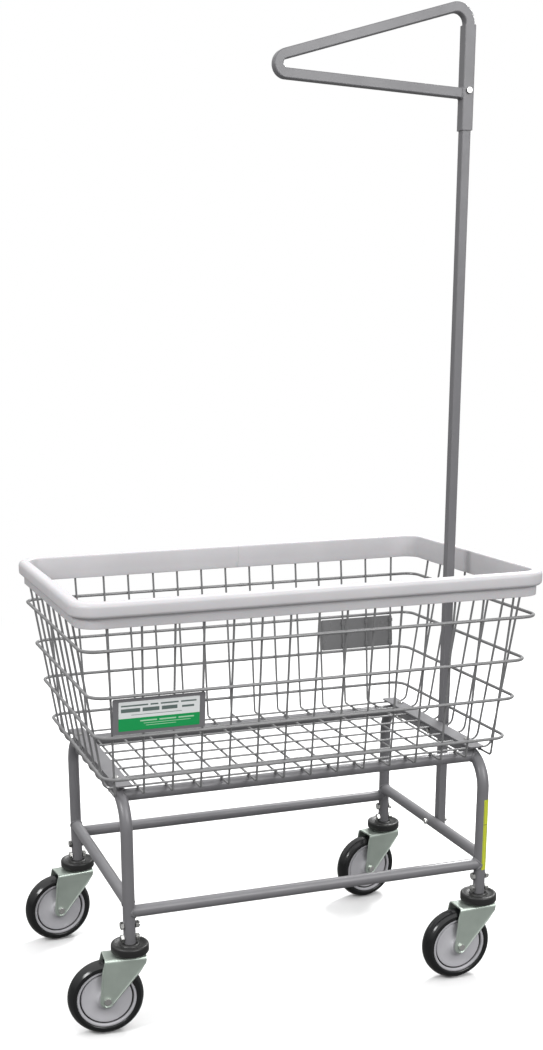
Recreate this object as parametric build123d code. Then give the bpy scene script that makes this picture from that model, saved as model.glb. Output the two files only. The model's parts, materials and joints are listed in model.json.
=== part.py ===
from build123d import *
import os
from math import atan, cos, degrees, radians, sin, sqrt, tan

# Linen trolley: a wire basket on a welded tube frame with four swivel casters, and a garment
# hanger on a pole at one end. Millimetres, +Z up, +X towards the pole, the label on the -Y side.
# It is drawn with the middle of the tube frame on the Z axis. The casters trail to the left, so
# the finished pieces are moved right by ORIGIN_X, which puts the origin on the floor under the
# middle of the whole trolley.

# ---------------------------------------------------------------- driving dimensions
GAP = 0.05            # between pieces that touch, so that their solids never overlap
ORIGIN_X = 12.5       # from the origin to the middle of the tube frame

# tube frame
TUBE_R = 11.1         # 7/8 inch tube
TUBE_WALL = 1.6
RAIL_R = 11.0
LEG_X = 350.0         # half the distance between the legs, along the trolley
LEG_Y = 215.0         # and across it
LEG_BOTTOM_Z = 169.0
BEND_R = 60.0         # centreline radius of the end frames' two bends
LONG_RAIL_Z = 228.0   # front and back lower rails
SHORT_RAIL_Z = 245.0  # left and right lower rails
TOP_RAIL_Z = 435.0

# basket
WIRE_R = 2.1
HOOP_R = 3.0
ROD_R = 3.5
CROSS_COUNT = 15      # wires that run front wall, floor, back wall
CROSS_PITCH = 52.1
CROSS_SHIFT = -5.0    # the row of cross wires sits a little to the left, clear of the pole
LONG_COUNT = 8        # wires that run left wall, floor, right wall
LONG_PITCH = 52.0
FLOOR_X = 379.5       # wire line of the walls at the floor
FLOOR_Y = 220.5
RIM_X = 426.5         # wire line of the walls under the rim
RIM_Y = 254.5
RIM_FOOT_Z = 754.0    # underside of the bumper
KNEE_Z = 750.0        # the wires stand upright from here
CROSS_BEND_R = 6.0
LONG_BEND_R = 15.0
KNEE_R = 40.0         # the slight bend where a wire straightens up under the rim
HOOP_Z = (481.5, 559.5, 633.5, 716.0)
HOOP_CORNER_R = 28.0
CORNER_SPARE = 3.5    # the outermost wires keep this much off the hoops' corners
RIM_CORNER_R = 35.0
ROD_Z = 783.0
FAN = (13.0, 5.0)     # how far the outermost and the next wires lean outwards at the rim

# rim bumper: a vinyl channel over the rim rod
BUMPER_INNER = 3.0    # vinyl on the basket side of the wires
BUMPER_SKIRT = 3.5    # vinyl on the outer side of the wires
BULGE_OUT = 10.0      # how far the bulge stands out of the skirt
BULGE_Z = 772.5
BUMPER_TOP_Z = 799.5

# floor straps and wall plates
STRAP_X = 346.0
STRAP_WIDTH = 30.0
STRAP_T = 3.0
STRAP_HALF_LENGTH = 194.0
STRAP_BOLT_Y = 145.0
PLATE_W = 165.0
PLATE_H = 65.0
PLATE_T = 1.2
CLIP_EDGE = 3.0       # a wire nearer than this to a plate's end has no clip
FRONT_PLATE_X = -292.5
BACK_PLATE_X = 289.0
LABEL_W = 144.0
LABEL_H = 53.0
LABEL_T = 0.4

# pole and hanger
POLE_SIDE = 17.0
POLE_WALL = 1.5
POLE_Y = -10.0
POLE_GAP = 1.0        # between the pole and the tubes that it is bolted to
POLE_BOTTOM_Z = 235.0
POLE_TOP_Z = 1662.0
SLEEVE_SIDE = 21.5
SLEEVE_WALL = 2.0
SLEEVE_Z = (1569.0, 1743.0)
SLEEVE_BOLT_Z = 1635.0
LOOP_CORNER_Z = 1779.0    # where the upper bar's line meets the pole's line
LOOP_LOWER_Z = 1631.0     # lower bar at the sleeve
LOOP_UPPER_DEG = 15.4     # the upper bar falls towards the tip
LOOP_LOWER_DEG = 3.5      # the lower bar rises towards the tip
LOOP_TOP_R = 26.0
LOOP_TIP_R = 15.7

# casters
WHEEL_R = 69.85           # 5 1/2 inch wheel
WHEEL_W = 34.0
TRAIL = 47.0
CASTER_DEG = {"front_left": 176.0, "front_right": 182.0, "back_left": 187.0, "back_right": 190.0}
CROWN_Z = 149.0
FORK_T = 3.0
FORK_INNER = 20.0         # half the space between the cheeks
FORK_FRONT = 27.0         # crown in front of the swivel axis
FORK_BACK = 49.0          # crown behind it
FORK_END_R = 12.5
RACE_R = 23.0
RACE_TOP_Z = 154.5
BUMPER_DISC_R = 34.5
DISC_LIP = 3.5          # the disc's rim hangs this far below its seat
DISC_RECESS_R = 26.5    # and clears the swivel race
STEM_R = 9.4
STEM_TOP_Z = 216.0
KINGPIN_R = 6.0
AXLE_R = 4.0
RUNNING = 0.05            # radial clearance of a turning fit
STEM_BOLT_Z = (178.0, 203.0)
MARKER_Z = (218.0, 360.0)
MARKER_T = 0.4
MARKER_W = 14.0
MARKER_DEG = -60.0      # it faces the front right corner

# fasteners
M6_R = 3.0
M6_HEX = 10.0             # across flats
M6_HEAD = 4.0
M6_NUT = 5.0
M6_SPARE = 7.0            # how far a bolt sticks out past what it clamps
M8_R = 4.0
M8_HEX = 13.0
M8_HEAD = 5.5
M8_NUT = 6.5
M8_SPARE = 8.5
AXLE_HEX = 12.0
AXLE_HEAD = 4.5
AXLE_NUT = 6.5

# ---------------------------------------------------------------- worked-out dimensions
CROSS_Z = TOP_RAIL_Z + RAIL_R + GAP + WIRE_R
LONG_Z = CROSS_Z + 2 * WIRE_R + GAP
CROSSBAR_Z = LONG_Z - WIRE_R - GAP - TUBE_R
STRAP_Z = LONG_Z + WIRE_R + GAP
RAIL_DROP = CROSSBAR_Z - TOP_RAIL_Z
TOP_RAIL_Y = LEG_Y - BEND_R + sqrt(BEND_R**2 - (BEND_R - RAIL_DROP) ** 2)
SLOPE_X = (RIM_X - FLOOR_X) / (KNEE_Z - CROSS_Z)
SLOPE_Y = (RIM_Y - FLOOR_Y) / (KNEE_Z - CROSS_Z)
WIRE_TOP_Z = ROD_Z - ROD_R - GAP
POLE_X = LEG_X + TUBE_R + POLE_GAP + POLE_SIDE / 2
CASTERS = {
    "front_left": (-LEG_X, -LEG_Y),
    "front_right": (LEG_X, -LEG_Y),
    "back_left": (-LEG_X, LEG_Y),
    "back_right": (LEG_X, LEG_Y),
}

nodes = {}


# ---------------------------------------------------------------- helpers
def wall_x(z):
    """Wire line of the end walls at height z."""
    return FLOOR_X + SLOPE_X * (z - CROSS_Z)


def wall_y(z):
    """Wire line of the front and back walls at height z."""
    return FLOOR_Y + SLOPE_Y * (z - CROSS_Z)


def rod_along(points, radii, radius):
    """A round rod along straight runs joined by bends."""
    line = FilletPolyline(*points, radius=radii)
    start = Plane(origin=line @ 0, z_dir=line % 0)
    return sweep(start * Circle(radius), path=line)


def tube_along(points, radii, radius, wall):
    """A round tube along straight runs joined by bends."""
    return rod_along(points, radii, radius) - rod_along(points, radii, radius - wall)


def straight_tube(start, end, radius, wall):
    """A straight round tube between two points."""
    a = Vector(*start)
    b = Vector(*end)
    place = Plane(origin=a, z_dir=b - a)
    ring_face = Circle(radius) - Circle(radius - wall)
    return extrude(place * ring_face, (b - a).length)


def pin(start, end, radius):
    """A solid cylinder between two points."""
    a = Vector(*start)
    b = Vector(*end)
    return extrude(Plane(origin=a, z_dir=b - a) * Circle(radius), (b - a).length)


def hexagon(start, direction, across_flats, height):
    """A hexagonal prism that stands on start."""
    place = Plane(origin=Vector(*start), z_dir=Vector(*direction))
    across_corners = across_flats / 2 / cos(radians(30))
    return extrude(place * RegularPolygon(across_corners, 6), height)


def ring(profile, half_x, half_y, corner_r):
    """A closed ring round a rectangle with rounded corners. The profile is drawn in the XZ plane,
    with its x measured outwards from the ring's line."""
    straight_x = half_x - corner_r
    straight_y = half_y - corner_r
    side = extrude(Pos(half_x, straight_y, 0) * profile, 2 * straight_y, dir=(0, -1, 0))
    corner_at = Pos(straight_x + corner_r, straight_y, 0) * profile
    corner = revolve(corner_at, Axis((straight_x, straight_y, 0), (0, 0, 1)), 90)
    front_face = Rot(0, 0, 90) * profile
    back = extrude(Pos(straight_x, half_y, 0) * front_face, 2 * straight_x, dir=(-1, 0, 0))
    quarter = [side, mirror(side, Plane.YZ), back, mirror(back, Plane.XZ)]
    for piece in (corner, mirror(corner, Plane.YZ)):
        quarter += [piece, mirror(piece, Plane.XZ)]
    whole = quarter[0]
    for piece in quarter[1:]:
        whole += piece
    return whole


def bolt(start, direction, length, radius, across_flats, head):
    """A hexagon-headed bolt: its head is behind start and its shank runs along direction."""
    a = Vector(*start)
    d = Vector(*direction).normalized()
    shank = pin(a, a + d * length, radius)
    return shank + hexagon(a, -d, across_flats, head)


def nut(start, direction, bore, across_flats, height):
    """A nut that stands on start."""
    a = Vector(*start)
    d = Vector(*direction).normalized()
    return hexagon(a, d, across_flats, height) - pin(a - d, a + d * (height + 1), bore)


def solids_of(*pieces):
    """Separate pieces kept side by side in one node."""
    return Compound(children=[s for piece in pieces for s in piece.solids()])


# ---------------------------------------------------------------- tube frame
def end_frame(side):
    """Leg, bend, crossbar, bend and leg in one tube. side is -1 for left and 1 for right."""
    x = side * LEG_X
    points = [
        (x, -LEG_Y, LEG_BOTTOM_Z),
        (x, -LEG_Y, CROSSBAR_Z),
        (x, LEG_Y, CROSSBAR_Z),
        (x, LEG_Y, LEG_BOTTOM_Z),
    ]
    frame = tube_along(points, [BEND_R, BEND_R], TUBE_R, TUBE_WALL)
    for y in (-STRAP_BOLT_Y, STRAP_BOLT_Y):
        frame -= pin((x, y, CROSSBAR_Z - 20), (x, y, CROSSBAR_Z + 20), M6_R + GAP)
    for y in (-LEG_Y, LEG_Y):
        for z in STEM_BOLT_Z:
            frame -= pin((x - 20, y, z), (x + 20, y, z), M8_R + GAP)
    if side > 0:
        frame -= pin((x - 20, POLE_Y, CROSSBAR_Z), (x + 20, POLE_Y, CROSSBAR_Z), M6_R + GAP)
    return frame


def end_frame_core(side):
    """The end frame filled in, to cope the rails that meet it."""
    x = side * LEG_X
    points = [
        (x, -LEG_Y, LEG_BOTTOM_Z),
        (x, -LEG_Y, CROSSBAR_Z),
        (x, LEG_Y, CROSSBAR_Z),
        (x, LEG_Y, LEG_BOTTOM_Z),
    ]
    return rod_along(points, [BEND_R, BEND_R], TUBE_R + GAP)


cores = {side: end_frame_core(side) for side in (-1, 1)}
nodes["left_end_frame"] = end_frame(-1)
nodes["right_end_frame"] = end_frame(1)


def rail_along_x(y, z):
    """A rail between the two end frames."""
    rail = straight_tube((-LEG_X, y, z), (LEG_X, y, z), RAIL_R, TUBE_WALL)
    return rail - cores[-1] - cores[1]


def rail_along_y(side):
    """A rail between the two legs of one end frame."""
    x = side * LEG_X
    rail = straight_tube((x, -LEG_Y, SHORT_RAIL_Z), (x, LEG_Y, SHORT_RAIL_Z), RAIL_R, TUBE_WALL)
    return rail - cores[side]


nodes["front_top_rail"] = rail_along_x(-TOP_RAIL_Y, TOP_RAIL_Z)
nodes["back_top_rail"] = rail_along_x(TOP_RAIL_Y, TOP_RAIL_Z)
nodes["front_lower_rail"] = rail_along_x(-LEG_Y, LONG_RAIL_Z)
nodes["back_lower_rail"] = rail_along_x(LEG_Y, LONG_RAIL_Z)
nodes["left_lower_rail"] = rail_along_y(-1)
rail_bolt_hole = pin(
    (LEG_X - 20, POLE_Y, SHORT_RAIL_Z), (LEG_X + 20, POLE_Y, SHORT_RAIL_Z), M6_R + GAP
)
nodes["right_lower_rail"] = rail_along_y(1) - rail_bolt_hole


# ---------------------------------------------------------------- basket
def lean(index, count):
    """How far a wire leans outwards at the rim, by its place in its row."""
    from_end = min(index, count - 1 - index)
    if from_end >= len(FAN):
        return 0.0
    return FAN[from_end] * (-1 if index < count / 2 else 1)


def corner_inset(x):
    """How far the lowest hoop's rounded corner has come in at x, for the wires that stand there."""
    straight = wall_x(HOOP_Z[0]) + WIRE_R + HOOP_R - HOOP_CORNER_R
    beyond = max(0.0, abs(x) + CORNER_SPARE - straight)
    return HOOP_CORNER_R - sqrt(HOOP_CORNER_R**2 - beyond**2)


def cross_wire_x(index):
    """Place of a cross wire along the floor."""
    return CROSS_SHIFT + (index - (CROSS_COUNT - 1) / 2) * CROSS_PITCH


def cross_wire(index):
    """Front wall, floor and back wall in one bent wire."""
    x = cross_wire_x(index)
    x_top = x + lean(index, CROSS_COUNT)
    y = FLOOR_Y - corner_inset(x)
    points = [
        (x_top, -RIM_Y, WIRE_TOP_Z),
        (x_top, -RIM_Y, KNEE_Z),
        (x, -y, CROSS_Z),
        (x, y, CROSS_Z),
        (x_top, RIM_Y, KNEE_Z),
        (x_top, RIM_Y, WIRE_TOP_Z),
    ]
    return rod_along(points, [KNEE_R, CROSS_BEND_R, CROSS_BEND_R, KNEE_R], WIRE_R)


def long_wire(index):
    """Left wall, floor and right wall in one bent wire."""
    y = (index - (LONG_COUNT - 1) / 2) * LONG_PITCH
    y_top = y + lean(index, LONG_COUNT) / 2
    x = wall_x(LONG_Z)
    points = [
        (-RIM_X, y_top, WIRE_TOP_Z),
        (-RIM_X, y_top, KNEE_Z),
        (-x, y, LONG_Z),
        (x, y, LONG_Z),
        (RIM_X, y_top, KNEE_Z),
        (RIM_X, y_top, WIRE_TOP_Z),
    ]
    return rod_along(points, [KNEE_R, LONG_BEND_R, LONG_BEND_R, KNEE_R], WIRE_R)


nodes["cross_wires"] = solids_of(*[cross_wire(i) for i in range(CROSS_COUNT)])
nodes["long_wires"] = solids_of(*[long_wire(i) for i in range(LONG_COUNT)])

for number, hoop_z in enumerate(HOOP_Z, start=1):
    out_x = (WIRE_R + HOOP_R) / cos(atan(SLOPE_X)) + GAP
    out_y = (WIRE_R + HOOP_R) / cos(atan(SLOPE_Y)) + GAP
    section = Pos(0, 0, hoop_z) * (Plane.XZ * Circle(HOOP_R))
    nodes[f"hoop_{number}"] = ring(
        section, wall_x(hoop_z) + out_x, wall_y(hoop_z) + out_y, HOOP_CORNER_R
    )

rod_section = Pos(0, 0, ROD_Z) * (Plane.XZ * Circle(ROD_R))
nodes["rim_rod"] = ring(rod_section, RIM_X, RIM_Y, RIM_CORNER_R)


def bumper_profile():
    """The vinyl channel in section: flat inner face, skirt, bulge, and a slot for rod and wires."""
    inner = -(WIRE_R + BUMPER_INNER)
    skirt = WIRE_R + BUMPER_SKIRT
    bulge = skirt + BULGE_OUT
    low_r = 6.0
    high_r = 8.0
    inner_r = 3.0
    low = Vector(bulge - low_r, BULGE_Z + low_r)
    high = Vector(bulge - high_r, BUMPER_TOP_Z - high_r)
    edge = Vector(inner + inner_r, BUMPER_TOP_Z - inner_r)
    half = sqrt(0.5)
    outline = [
        Line((inner, RIM_FOOT_Z), (skirt, RIM_FOOT_Z)),
        Line((skirt, RIM_FOOT_Z), (skirt, BULGE_Z)),
        Line((skirt, BULGE_Z), (low.X, BULGE_Z)),
        ThreePointArc(
            (low.X, BULGE_Z), (low.X + low_r * half, low.Y - low_r * half), (bulge, low.Y)
        ),
        Line((bulge, low.Y), (bulge, high.Y)),
        ThreePointArc(
            (bulge, high.Y),
            (high.X + high_r * half, high.Y + high_r * half),
            (high.X, BUMPER_TOP_Z),
        ),
        Line((high.X, BUMPER_TOP_Z), (edge.X, BUMPER_TOP_Z)),
        ThreePointArc(
            (edge.X, BUMPER_TOP_Z),
            (edge.X - inner_r * half, edge.Y + inner_r * half),
            (inner, edge.Y),
        ),
        Line((inner, edge.Y), (inner, RIM_FOOT_Z)),
    ]
    face = make_face(Curve() + outline)
    pocket = Pos(0, ROD_Z) * Circle(ROD_R + 2 * GAP)
    slot_height = ROD_Z - RIM_FOOT_Z + 1
    slot = Pos(0, ROD_Z - slot_height / 2) * Rectangle(2 * (WIRE_R + 2 * GAP), slot_height)
    return Plane(origin=(0, 0, 0), x_dir=(1, 0, 0), z_dir=(0, -1, 0)) * (face - pocket - slot)


nodes["rim_bumper"] = ring(bumper_profile(), RIM_X, RIM_Y, RIM_CORNER_R)


# ---------------------------------------------------------------- floor straps and wall plates
def floor_strap(side):
    """A flat bar over the long wires, bolted down to the crossbar."""
    strap = Pos(side * STRAP_X, 0, STRAP_Z + STRAP_T / 2) * Box(
        STRAP_WIDTH, 2 * STRAP_HALF_LENGTH, STRAP_T
    )
    strap = fillet(strap.edges().filter_by(Axis.Z), 4.0)
    for y in (-STRAP_BOLT_Y, STRAP_BOLT_Y):
        strap -= pin(
            (side * LEG_X, y, STRAP_Z - 1), (side * LEG_X, y, STRAP_Z + STRAP_T + 1), M6_R + GAP
        )
    return strap


nodes["left_floor_strap"] = floor_strap(-1)
nodes["right_floor_strap"] = floor_strap(1)

strap_bolts = []
for side in (-1, 1):
    for y in (-STRAP_BOLT_Y, STRAP_BOLT_Y):
        top = STRAP_Z + STRAP_T
        under = CROSSBAR_Z - TUBE_R
        strap_bolts.append(
            bolt((side * LEG_X, y, top), (0, 0, -1), top - under + M6_SPARE, M6_R, M6_HEX, M6_HEAD)
        )
        strap_bolts.append(nut((side * LEG_X, y, under), (0, 0, -1), M6_R + GAP, M6_HEX, M6_NUT))
nodes["strap_bolts"] = solids_of(*strap_bolts)


def on_wall(front, x, z, outwards):
    """A place on the outer side of the front or back wall, turned to its lean."""
    tilt = degrees(atan(SLOPE_Y))
    sign = -1 if front else 1
    y = sign * (wall_y(z) + outwards / cos(radians(tilt)))
    return Pos(x, y, z) * Rot(-sign * tilt, 0, 0)


def wall_plate(front, plate_x):
    """A sheet-metal plate outside the wires, with bent clips that hook round them."""
    sign = -1 if front else 1
    plate_z = (HOOP_Z[1] + HOOP_Z[2]) / 2
    out = WIRE_R + GAP + PLATE_T / 2
    blank = Box(PLATE_W, PLATE_T, PLATE_H)
    blank = fillet(blank.edges().filter_by(Axis.Y), 3.0)
    plate = on_wall(front, plate_x, plate_z, out) * blank
    channel = WIRE_R + 0.3
    clip_t = 1.0
    clip_depth = 2 * (channel + clip_t)
    row = PLATE_H / 2 - 9.0
    for index in range(CROSS_COUNT):
        for height in (plate_z - row, plate_z + row):
            rise = (height - CROSS_Z) / (KNEE_Z - CROSS_Z)
            x = cross_wire_x(index) + lean(index, CROSS_COUNT) * rise
            if abs(x - plate_x) > PLATE_W / 2 - CLIP_EDGE:
                continue
            body = Box(clip_depth, WIRE_R + GAP + channel + clip_t, 7.0)
            hollow = Box(2 * channel, WIRE_R + GAP + channel + GAP, 8.0)
            body_y = sign * (WIRE_R + GAP - channel - clip_t) / 2
            hollow_y = sign * (WIRE_R + 2 * GAP - channel) / 2
            clip = Pos(0, body_y, 0) * body - Pos(0, hollow_y, 0) * hollow
            plate += on_wall(front, x, height, 0.0) * clip
    return plate


nodes["front_label_plate"] = wall_plate(True, FRONT_PLATE_X)
nodes["back_label_plate"] = wall_plate(False, BACK_PLATE_X)

label_z = (HOOP_Z[1] + HOOP_Z[2]) / 2
label_out = WIRE_R + GAP + PLATE_T + LABEL_T / 2
label_blank = Box(LABEL_W, LABEL_T, LABEL_H)
label_blank = fillet(label_blank.edges().filter_by(Axis.Y), 1.5)
nodes["front_label"] = on_wall(True, FRONT_PLATE_X, label_z, label_out) * label_blank


# ---------------------------------------------------------------- pole and hanger
def square_tube(side, wall, low, high):
    """An upright square tube on the pole's line."""
    outer = Rectangle(side, side)
    outer = fillet(outer.vertices(), 2.0)
    inner = Rectangle(side - 2 * wall, side - 2 * wall)
    return extrude(Pos(POLE_X, POLE_Y, low) * (outer - inner), high - low)


def pole_bolt_line(z, radius, reach=40.0):
    """A cylinder along X through the pole at height z, to drill or to fill a bolt hole."""
    return pin((POLE_X - reach, POLE_Y, z), (POLE_X + reach, POLE_Y, z), radius)


pole = square_tube(POLE_SIDE, POLE_WALL, POLE_BOTTOM_Z, POLE_TOP_Z)
for bolt_z in (SHORT_RAIL_Z, CROSSBAR_Z):
    pole -= pole_bolt_line(bolt_z, M6_R + GAP)
sleeve_hole = pin(
    (POLE_X, POLE_Y - 30, SLEEVE_BOLT_Z), (POLE_X, POLE_Y + 30, SLEEVE_BOLT_Z), M6_R + GAP
)
nodes["pole"] = pole - sleeve_hole
sleeve = square_tube(SLEEVE_SIDE, SLEEVE_WALL, *SLEEVE_Z)
nodes["pole_sleeve"] = sleeve - sleeve_hole


def hanger_loop():
    """One square tube: up out of the sleeve, over, down to the tip and back to the sleeve."""
    rise_up = tan(radians(LOOP_UPPER_DEG))
    rise_low = tan(radians(LOOP_LOWER_DEG))
    face_x = POLE_X - SLEEVE_SIDE / 2
    corner = (POLE_X, POLE_Y, LOOP_CORNER_Z)
    lower_end = (face_x, POLE_Y, LOOP_LOWER_Z)
    run = (LOOP_CORNER_Z - LOOP_LOWER_Z - rise_up * POLE_X - rise_low * face_x) / (rise_up + rise_low)
    apex_z = LOOP_CORNER_Z - rise_up * (POLE_X + run)
    apex = (-run, POLE_Y, apex_z)
    start = (POLE_X, POLE_Y, POLE_TOP_Z + 5.0)
    line = FilletPolyline(start, corner, apex, lower_end, radius=[LOOP_TOP_R, LOOP_TIP_R])
    place = Plane(origin=line @ 0, x_dir=(0, 1, 0), z_dir=line % 0)
    outer = fillet(Rectangle(POLE_SIDE, POLE_SIDE).vertices(), 2.0)
    inner = Rectangle(POLE_SIDE - 2 * POLE_WALL, POLE_SIDE - 2 * POLE_WALL)
    bar = sweep(place * outer, path=line) - sweep(place * inner, path=line)
    sleeve_z = sum(SLEEVE_Z) / 2
    sleeve_core = Pos(POLE_X, POLE_Y, sleeve_z) * Box(
        SLEEVE_SIDE + 2 * GAP, SLEEVE_SIDE + 2 * GAP, SLEEVE_Z[1] - SLEEVE_Z[0]
    )
    upright = Pos(POLE_X, POLE_Y, sleeve_z) * Box(
        POLE_SIDE + 2 * GAP, POLE_SIDE + 2 * GAP, SLEEVE_Z[1] - SLEEVE_Z[0] + 2
    )
    return bar - (sleeve_core - upright)


nodes["hanger_loop"] = hanger_loop()

sleeve_front = POLE_Y - SLEEVE_SIDE / 2
sleeve_back = POLE_Y + SLEEVE_SIDE / 2
nodes["sleeve_bolt"] = solids_of(
    bolt(
        (POLE_X, sleeve_front, SLEEVE_BOLT_Z),
        (0, 1, 0),
        SLEEVE_SIDE + M6_SPARE,
        M6_R,
        M6_HEX,
        M6_HEAD,
    ),
    nut((POLE_X, sleeve_back, SLEEVE_BOLT_Z), (0, 1, 0), M6_R + GAP, M6_HEX, M6_NUT),
)

pole_bolts = []
for bolt_z, tube_r in ((SHORT_RAIL_Z, RAIL_R), (CROSSBAR_Z, TUBE_R)):
    head_x = LEG_X - tube_r
    outer_x = POLE_X + POLE_SIDE / 2
    length = outer_x - head_x + M6_SPARE
    pole_bolts.append(bolt((head_x, POLE_Y, bolt_z), (1, 0, 0), length, M6_R, M6_HEX, M6_HEAD))
    pole_bolts.append(nut((outer_x, POLE_Y, bolt_z), (1, 0, 0), M6_R + GAP, M6_HEX, M6_NUT))
nodes["pole_bolts"] = solids_of(*pole_bolts)

# ---------------------------------------------------------------- caster stems and bumpers
FLANGE_Z = RACE_TOP_Z + 0.4
DISC_Z = FLANGE_Z + 1.0


def caster_stem(x, y):
    """The plug that the leg is bolted to, its flange, and the kingpin that the fork turns on."""
    stem = pin((x, y, DISC_Z), (x, y, STEM_TOP_Z), STEM_R)
    stem += pin((x, y, FLANGE_Z), (x, y, DISC_Z), 15.0)
    head_z = CROWN_Z - FORK_T - 0.3
    stem += pin((x, y, head_z - 3.5), (x, y, FLANGE_Z), KINGPIN_R)
    stem += pin((x, y, head_z - 3.5), (x, y, head_z), 9.0)
    for z in STEM_BOLT_Z:
        stem -= pin((x - 20, y, z), (x + 20, y, z), M8_R + GAP)
    return stem


def bumper_disc(x, y):
    """A rubber disc under the leg that keeps the caster off walls. Its rim hangs round the race."""
    disc = pin((x, y, DISC_Z - DISC_LIP), (x, y, LEG_BOTTOM_Z), BUMPER_DISC_R)
    disc = fillet(disc.edges().filter_by(GeomType.CIRCLE), 3.5)
    disc -= pin((x, y, DISC_Z - DISC_LIP - 1), (x, y, DISC_Z), DISC_RECESS_R)
    return disc - pin((x, y, DISC_Z - 1), (x, y, LEG_BOTTOM_Z + 1), STEM_R + GAP)


stems = []
discs = []
stem_bolts = []
stem_nuts = []
for x, y in CASTERS.values():
    stems.append(caster_stem(x, y))
    discs.append(bumper_disc(x, y))
    for z in STEM_BOLT_Z:
        length = 2 * TUBE_R + M8_SPARE
        stem_bolts.append(bolt((x - TUBE_R, y, z), (1, 0, 0), length, M8_R, M8_HEX, M8_HEAD))
        stem_nuts.append(nut((x + TUBE_R, y, z), (1, 0, 0), M8_R + GAP, M8_HEX, M8_NUT))
nodes["caster_stems"] = solids_of(*stems)
nodes["caster_bumpers"] = solids_of(*discs)
nodes["stem_bolts"] = solids_of(*stem_bolts)
nodes["stem_nuts"] = solids_of(*stem_nuts)


def leg_marker():
    """A thin strip stuck on the outer side of the front right leg."""
    low, high = MARKER_Z
    foot = (LEG_X, -LEG_Y, low)
    head = (LEG_X, -LEG_Y, high)
    sleeve = straight_tube(foot, head, TUBE_R + MARKER_T, MARKER_T)
    zone = Pos(TUBE_R, 0, 0) * Box(2 * TUBE_R - 8.0, MARKER_W, high - low + 2)
    return sleeve & Pos(LEG_X, -LEG_Y, (low + high) / 2) * Rot(0, 0, MARKER_DEG) * zone


nodes["leg_marker"] = leg_marker()


# ---------------------------------------------------------------- casters
# Each is drawn with its swivel axis on Z and trailing towards +X, then turned and moved.
def fork():
    """Crown and two cheeks, pressed from one sheet."""
    outer = FORK_INNER + FORK_T
    mid_u = (FORK_BACK - FORK_FRONT) / 2
    crown = Pos(mid_u, 0, CROWN_Z - FORK_T / 2) * Box(FORK_FRONT + FORK_BACK, 2 * outer, FORK_T)
    outline = Polyline(
        (-FORK_FRONT, CROWN_Z),
        (-FORK_FRONT + 2.0, CROWN_Z - 13.0),
        (-13.0, CROWN_Z - 29.0),
        (TRAIL - FORK_END_R * 0.92, WHEEL_R - FORK_END_R * 0.4),
        (TRAIL, WHEEL_R),
        (TRAIL + FORK_END_R, WHEEL_R),
        (FORK_BACK + 6.0, CROWN_Z - 22.0),
        (FORK_BACK, CROWN_Z),
        close=True,
    )
    cheek_face = make_face(outline) + Pos(TRAIL, WHEEL_R) * Circle(FORK_END_R)
    cheek = extrude(Plane.XZ * cheek_face, FORK_T)
    shape = crown + Pos(0, -FORK_INNER, 0) * cheek + Pos(0, outer, 0) * cheek
    shape -= pin((0, 0, CROWN_Z - 20), (0, 0, CROWN_Z + 20), KINGPIN_R + RUNNING)
    shape -= pin((TRAIL, -40, WHEEL_R), (TRAIL, 40, WHEEL_R), AXLE_R + GAP)
    return shape


def swivel_race():
    """The ball race housing between the crown and the stem's flange."""
    race = pin((0, 0, CROWN_Z), (0, 0, RACE_TOP_Z), RACE_R)
    race = chamfer(race.edges().filter_by(GeomType.CIRCLE).sort_by(Axis.Z)[-1], 2.0)
    return race - pin((0, 0, CROWN_Z - 1), (0, 0, RACE_TOP_Z + 1), KINGPIN_R + RUNNING)


def axle_bolt():
    """Axle bolt and its nut, outside the cheeks."""
    outer = FORK_INNER + FORK_T
    return solids_of(
        bolt(
            (TRAIL, outer, WHEEL_R),
            (0, -1, 0),
            2 * outer + AXLE_NUT + 2.0,
            AXLE_R,
            AXLE_HEX,
            AXLE_HEAD,
        ),
        nut((TRAIL, -outer, WHEEL_R), (0, -1, 0), AXLE_R + GAP, AXLE_HEX, AXLE_NUT),
    )


def turned(points):
    """A solid of revolution about the axle. Points are (distance along the axle, radius)."""
    face = make_face(Polyline(*points, close=True))
    solid = revolve(Plane.YZ * face, Axis((0, 0, 0), (0, 1, 0)))
    return Pos(TRAIL, 0, WHEEL_R) * solid


def wheel_hub():
    """Moulded wheel centre: boss, web, a groove near its edge and the seat of the tyre."""
    half = [
        (18.0, 10.0), (18.0, 17.0), (12.0, 21.0), (11.5, 46.5), (8.0, 47.5), (8.0, 49.5),
        (14.5, 50.5), (14.5, 54.5),
    ]
    return turned(half + [(-a, r) for a, r in reversed(half)])


def wheel_tyre():
    """Solid tyre with a crowned tread and rounded shoulders."""
    inner = 54.55
    shoulder = WHEEL_R - 8.0
    half_w = WHEEL_W / 2
    outline = [
        Line((-15.0, inner), (15.0, inner)),
        Line((15.0, inner), (half_w, inner + 2.5)),
        Line((half_w, inner + 2.5), (half_w, shoulder)),
        ThreePointArc((half_w, shoulder), (0, WHEEL_R), (-half_w, shoulder)),
        Line((-half_w, shoulder), (-half_w, inner + 2.5)),
        Line((-half_w, inner + 2.5), (-15.0, inner)),
    ]
    face = make_face(Curve() + outline)
    return Pos(TRAIL, 0, WHEEL_R) * revolve(Plane.YZ * face, Axis((0, 0, 0), (0, 1, 0)))


def wheel_bearing():
    """The sleeve between the cheeks that the hub is pressed on and that runs on the axle."""
    half = FORK_INNER - 0.4
    bore = AXLE_R + RUNNING
    return turned([(-half, bore), (half, bore), (half, 9.95), (-half, 9.95)])


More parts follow.
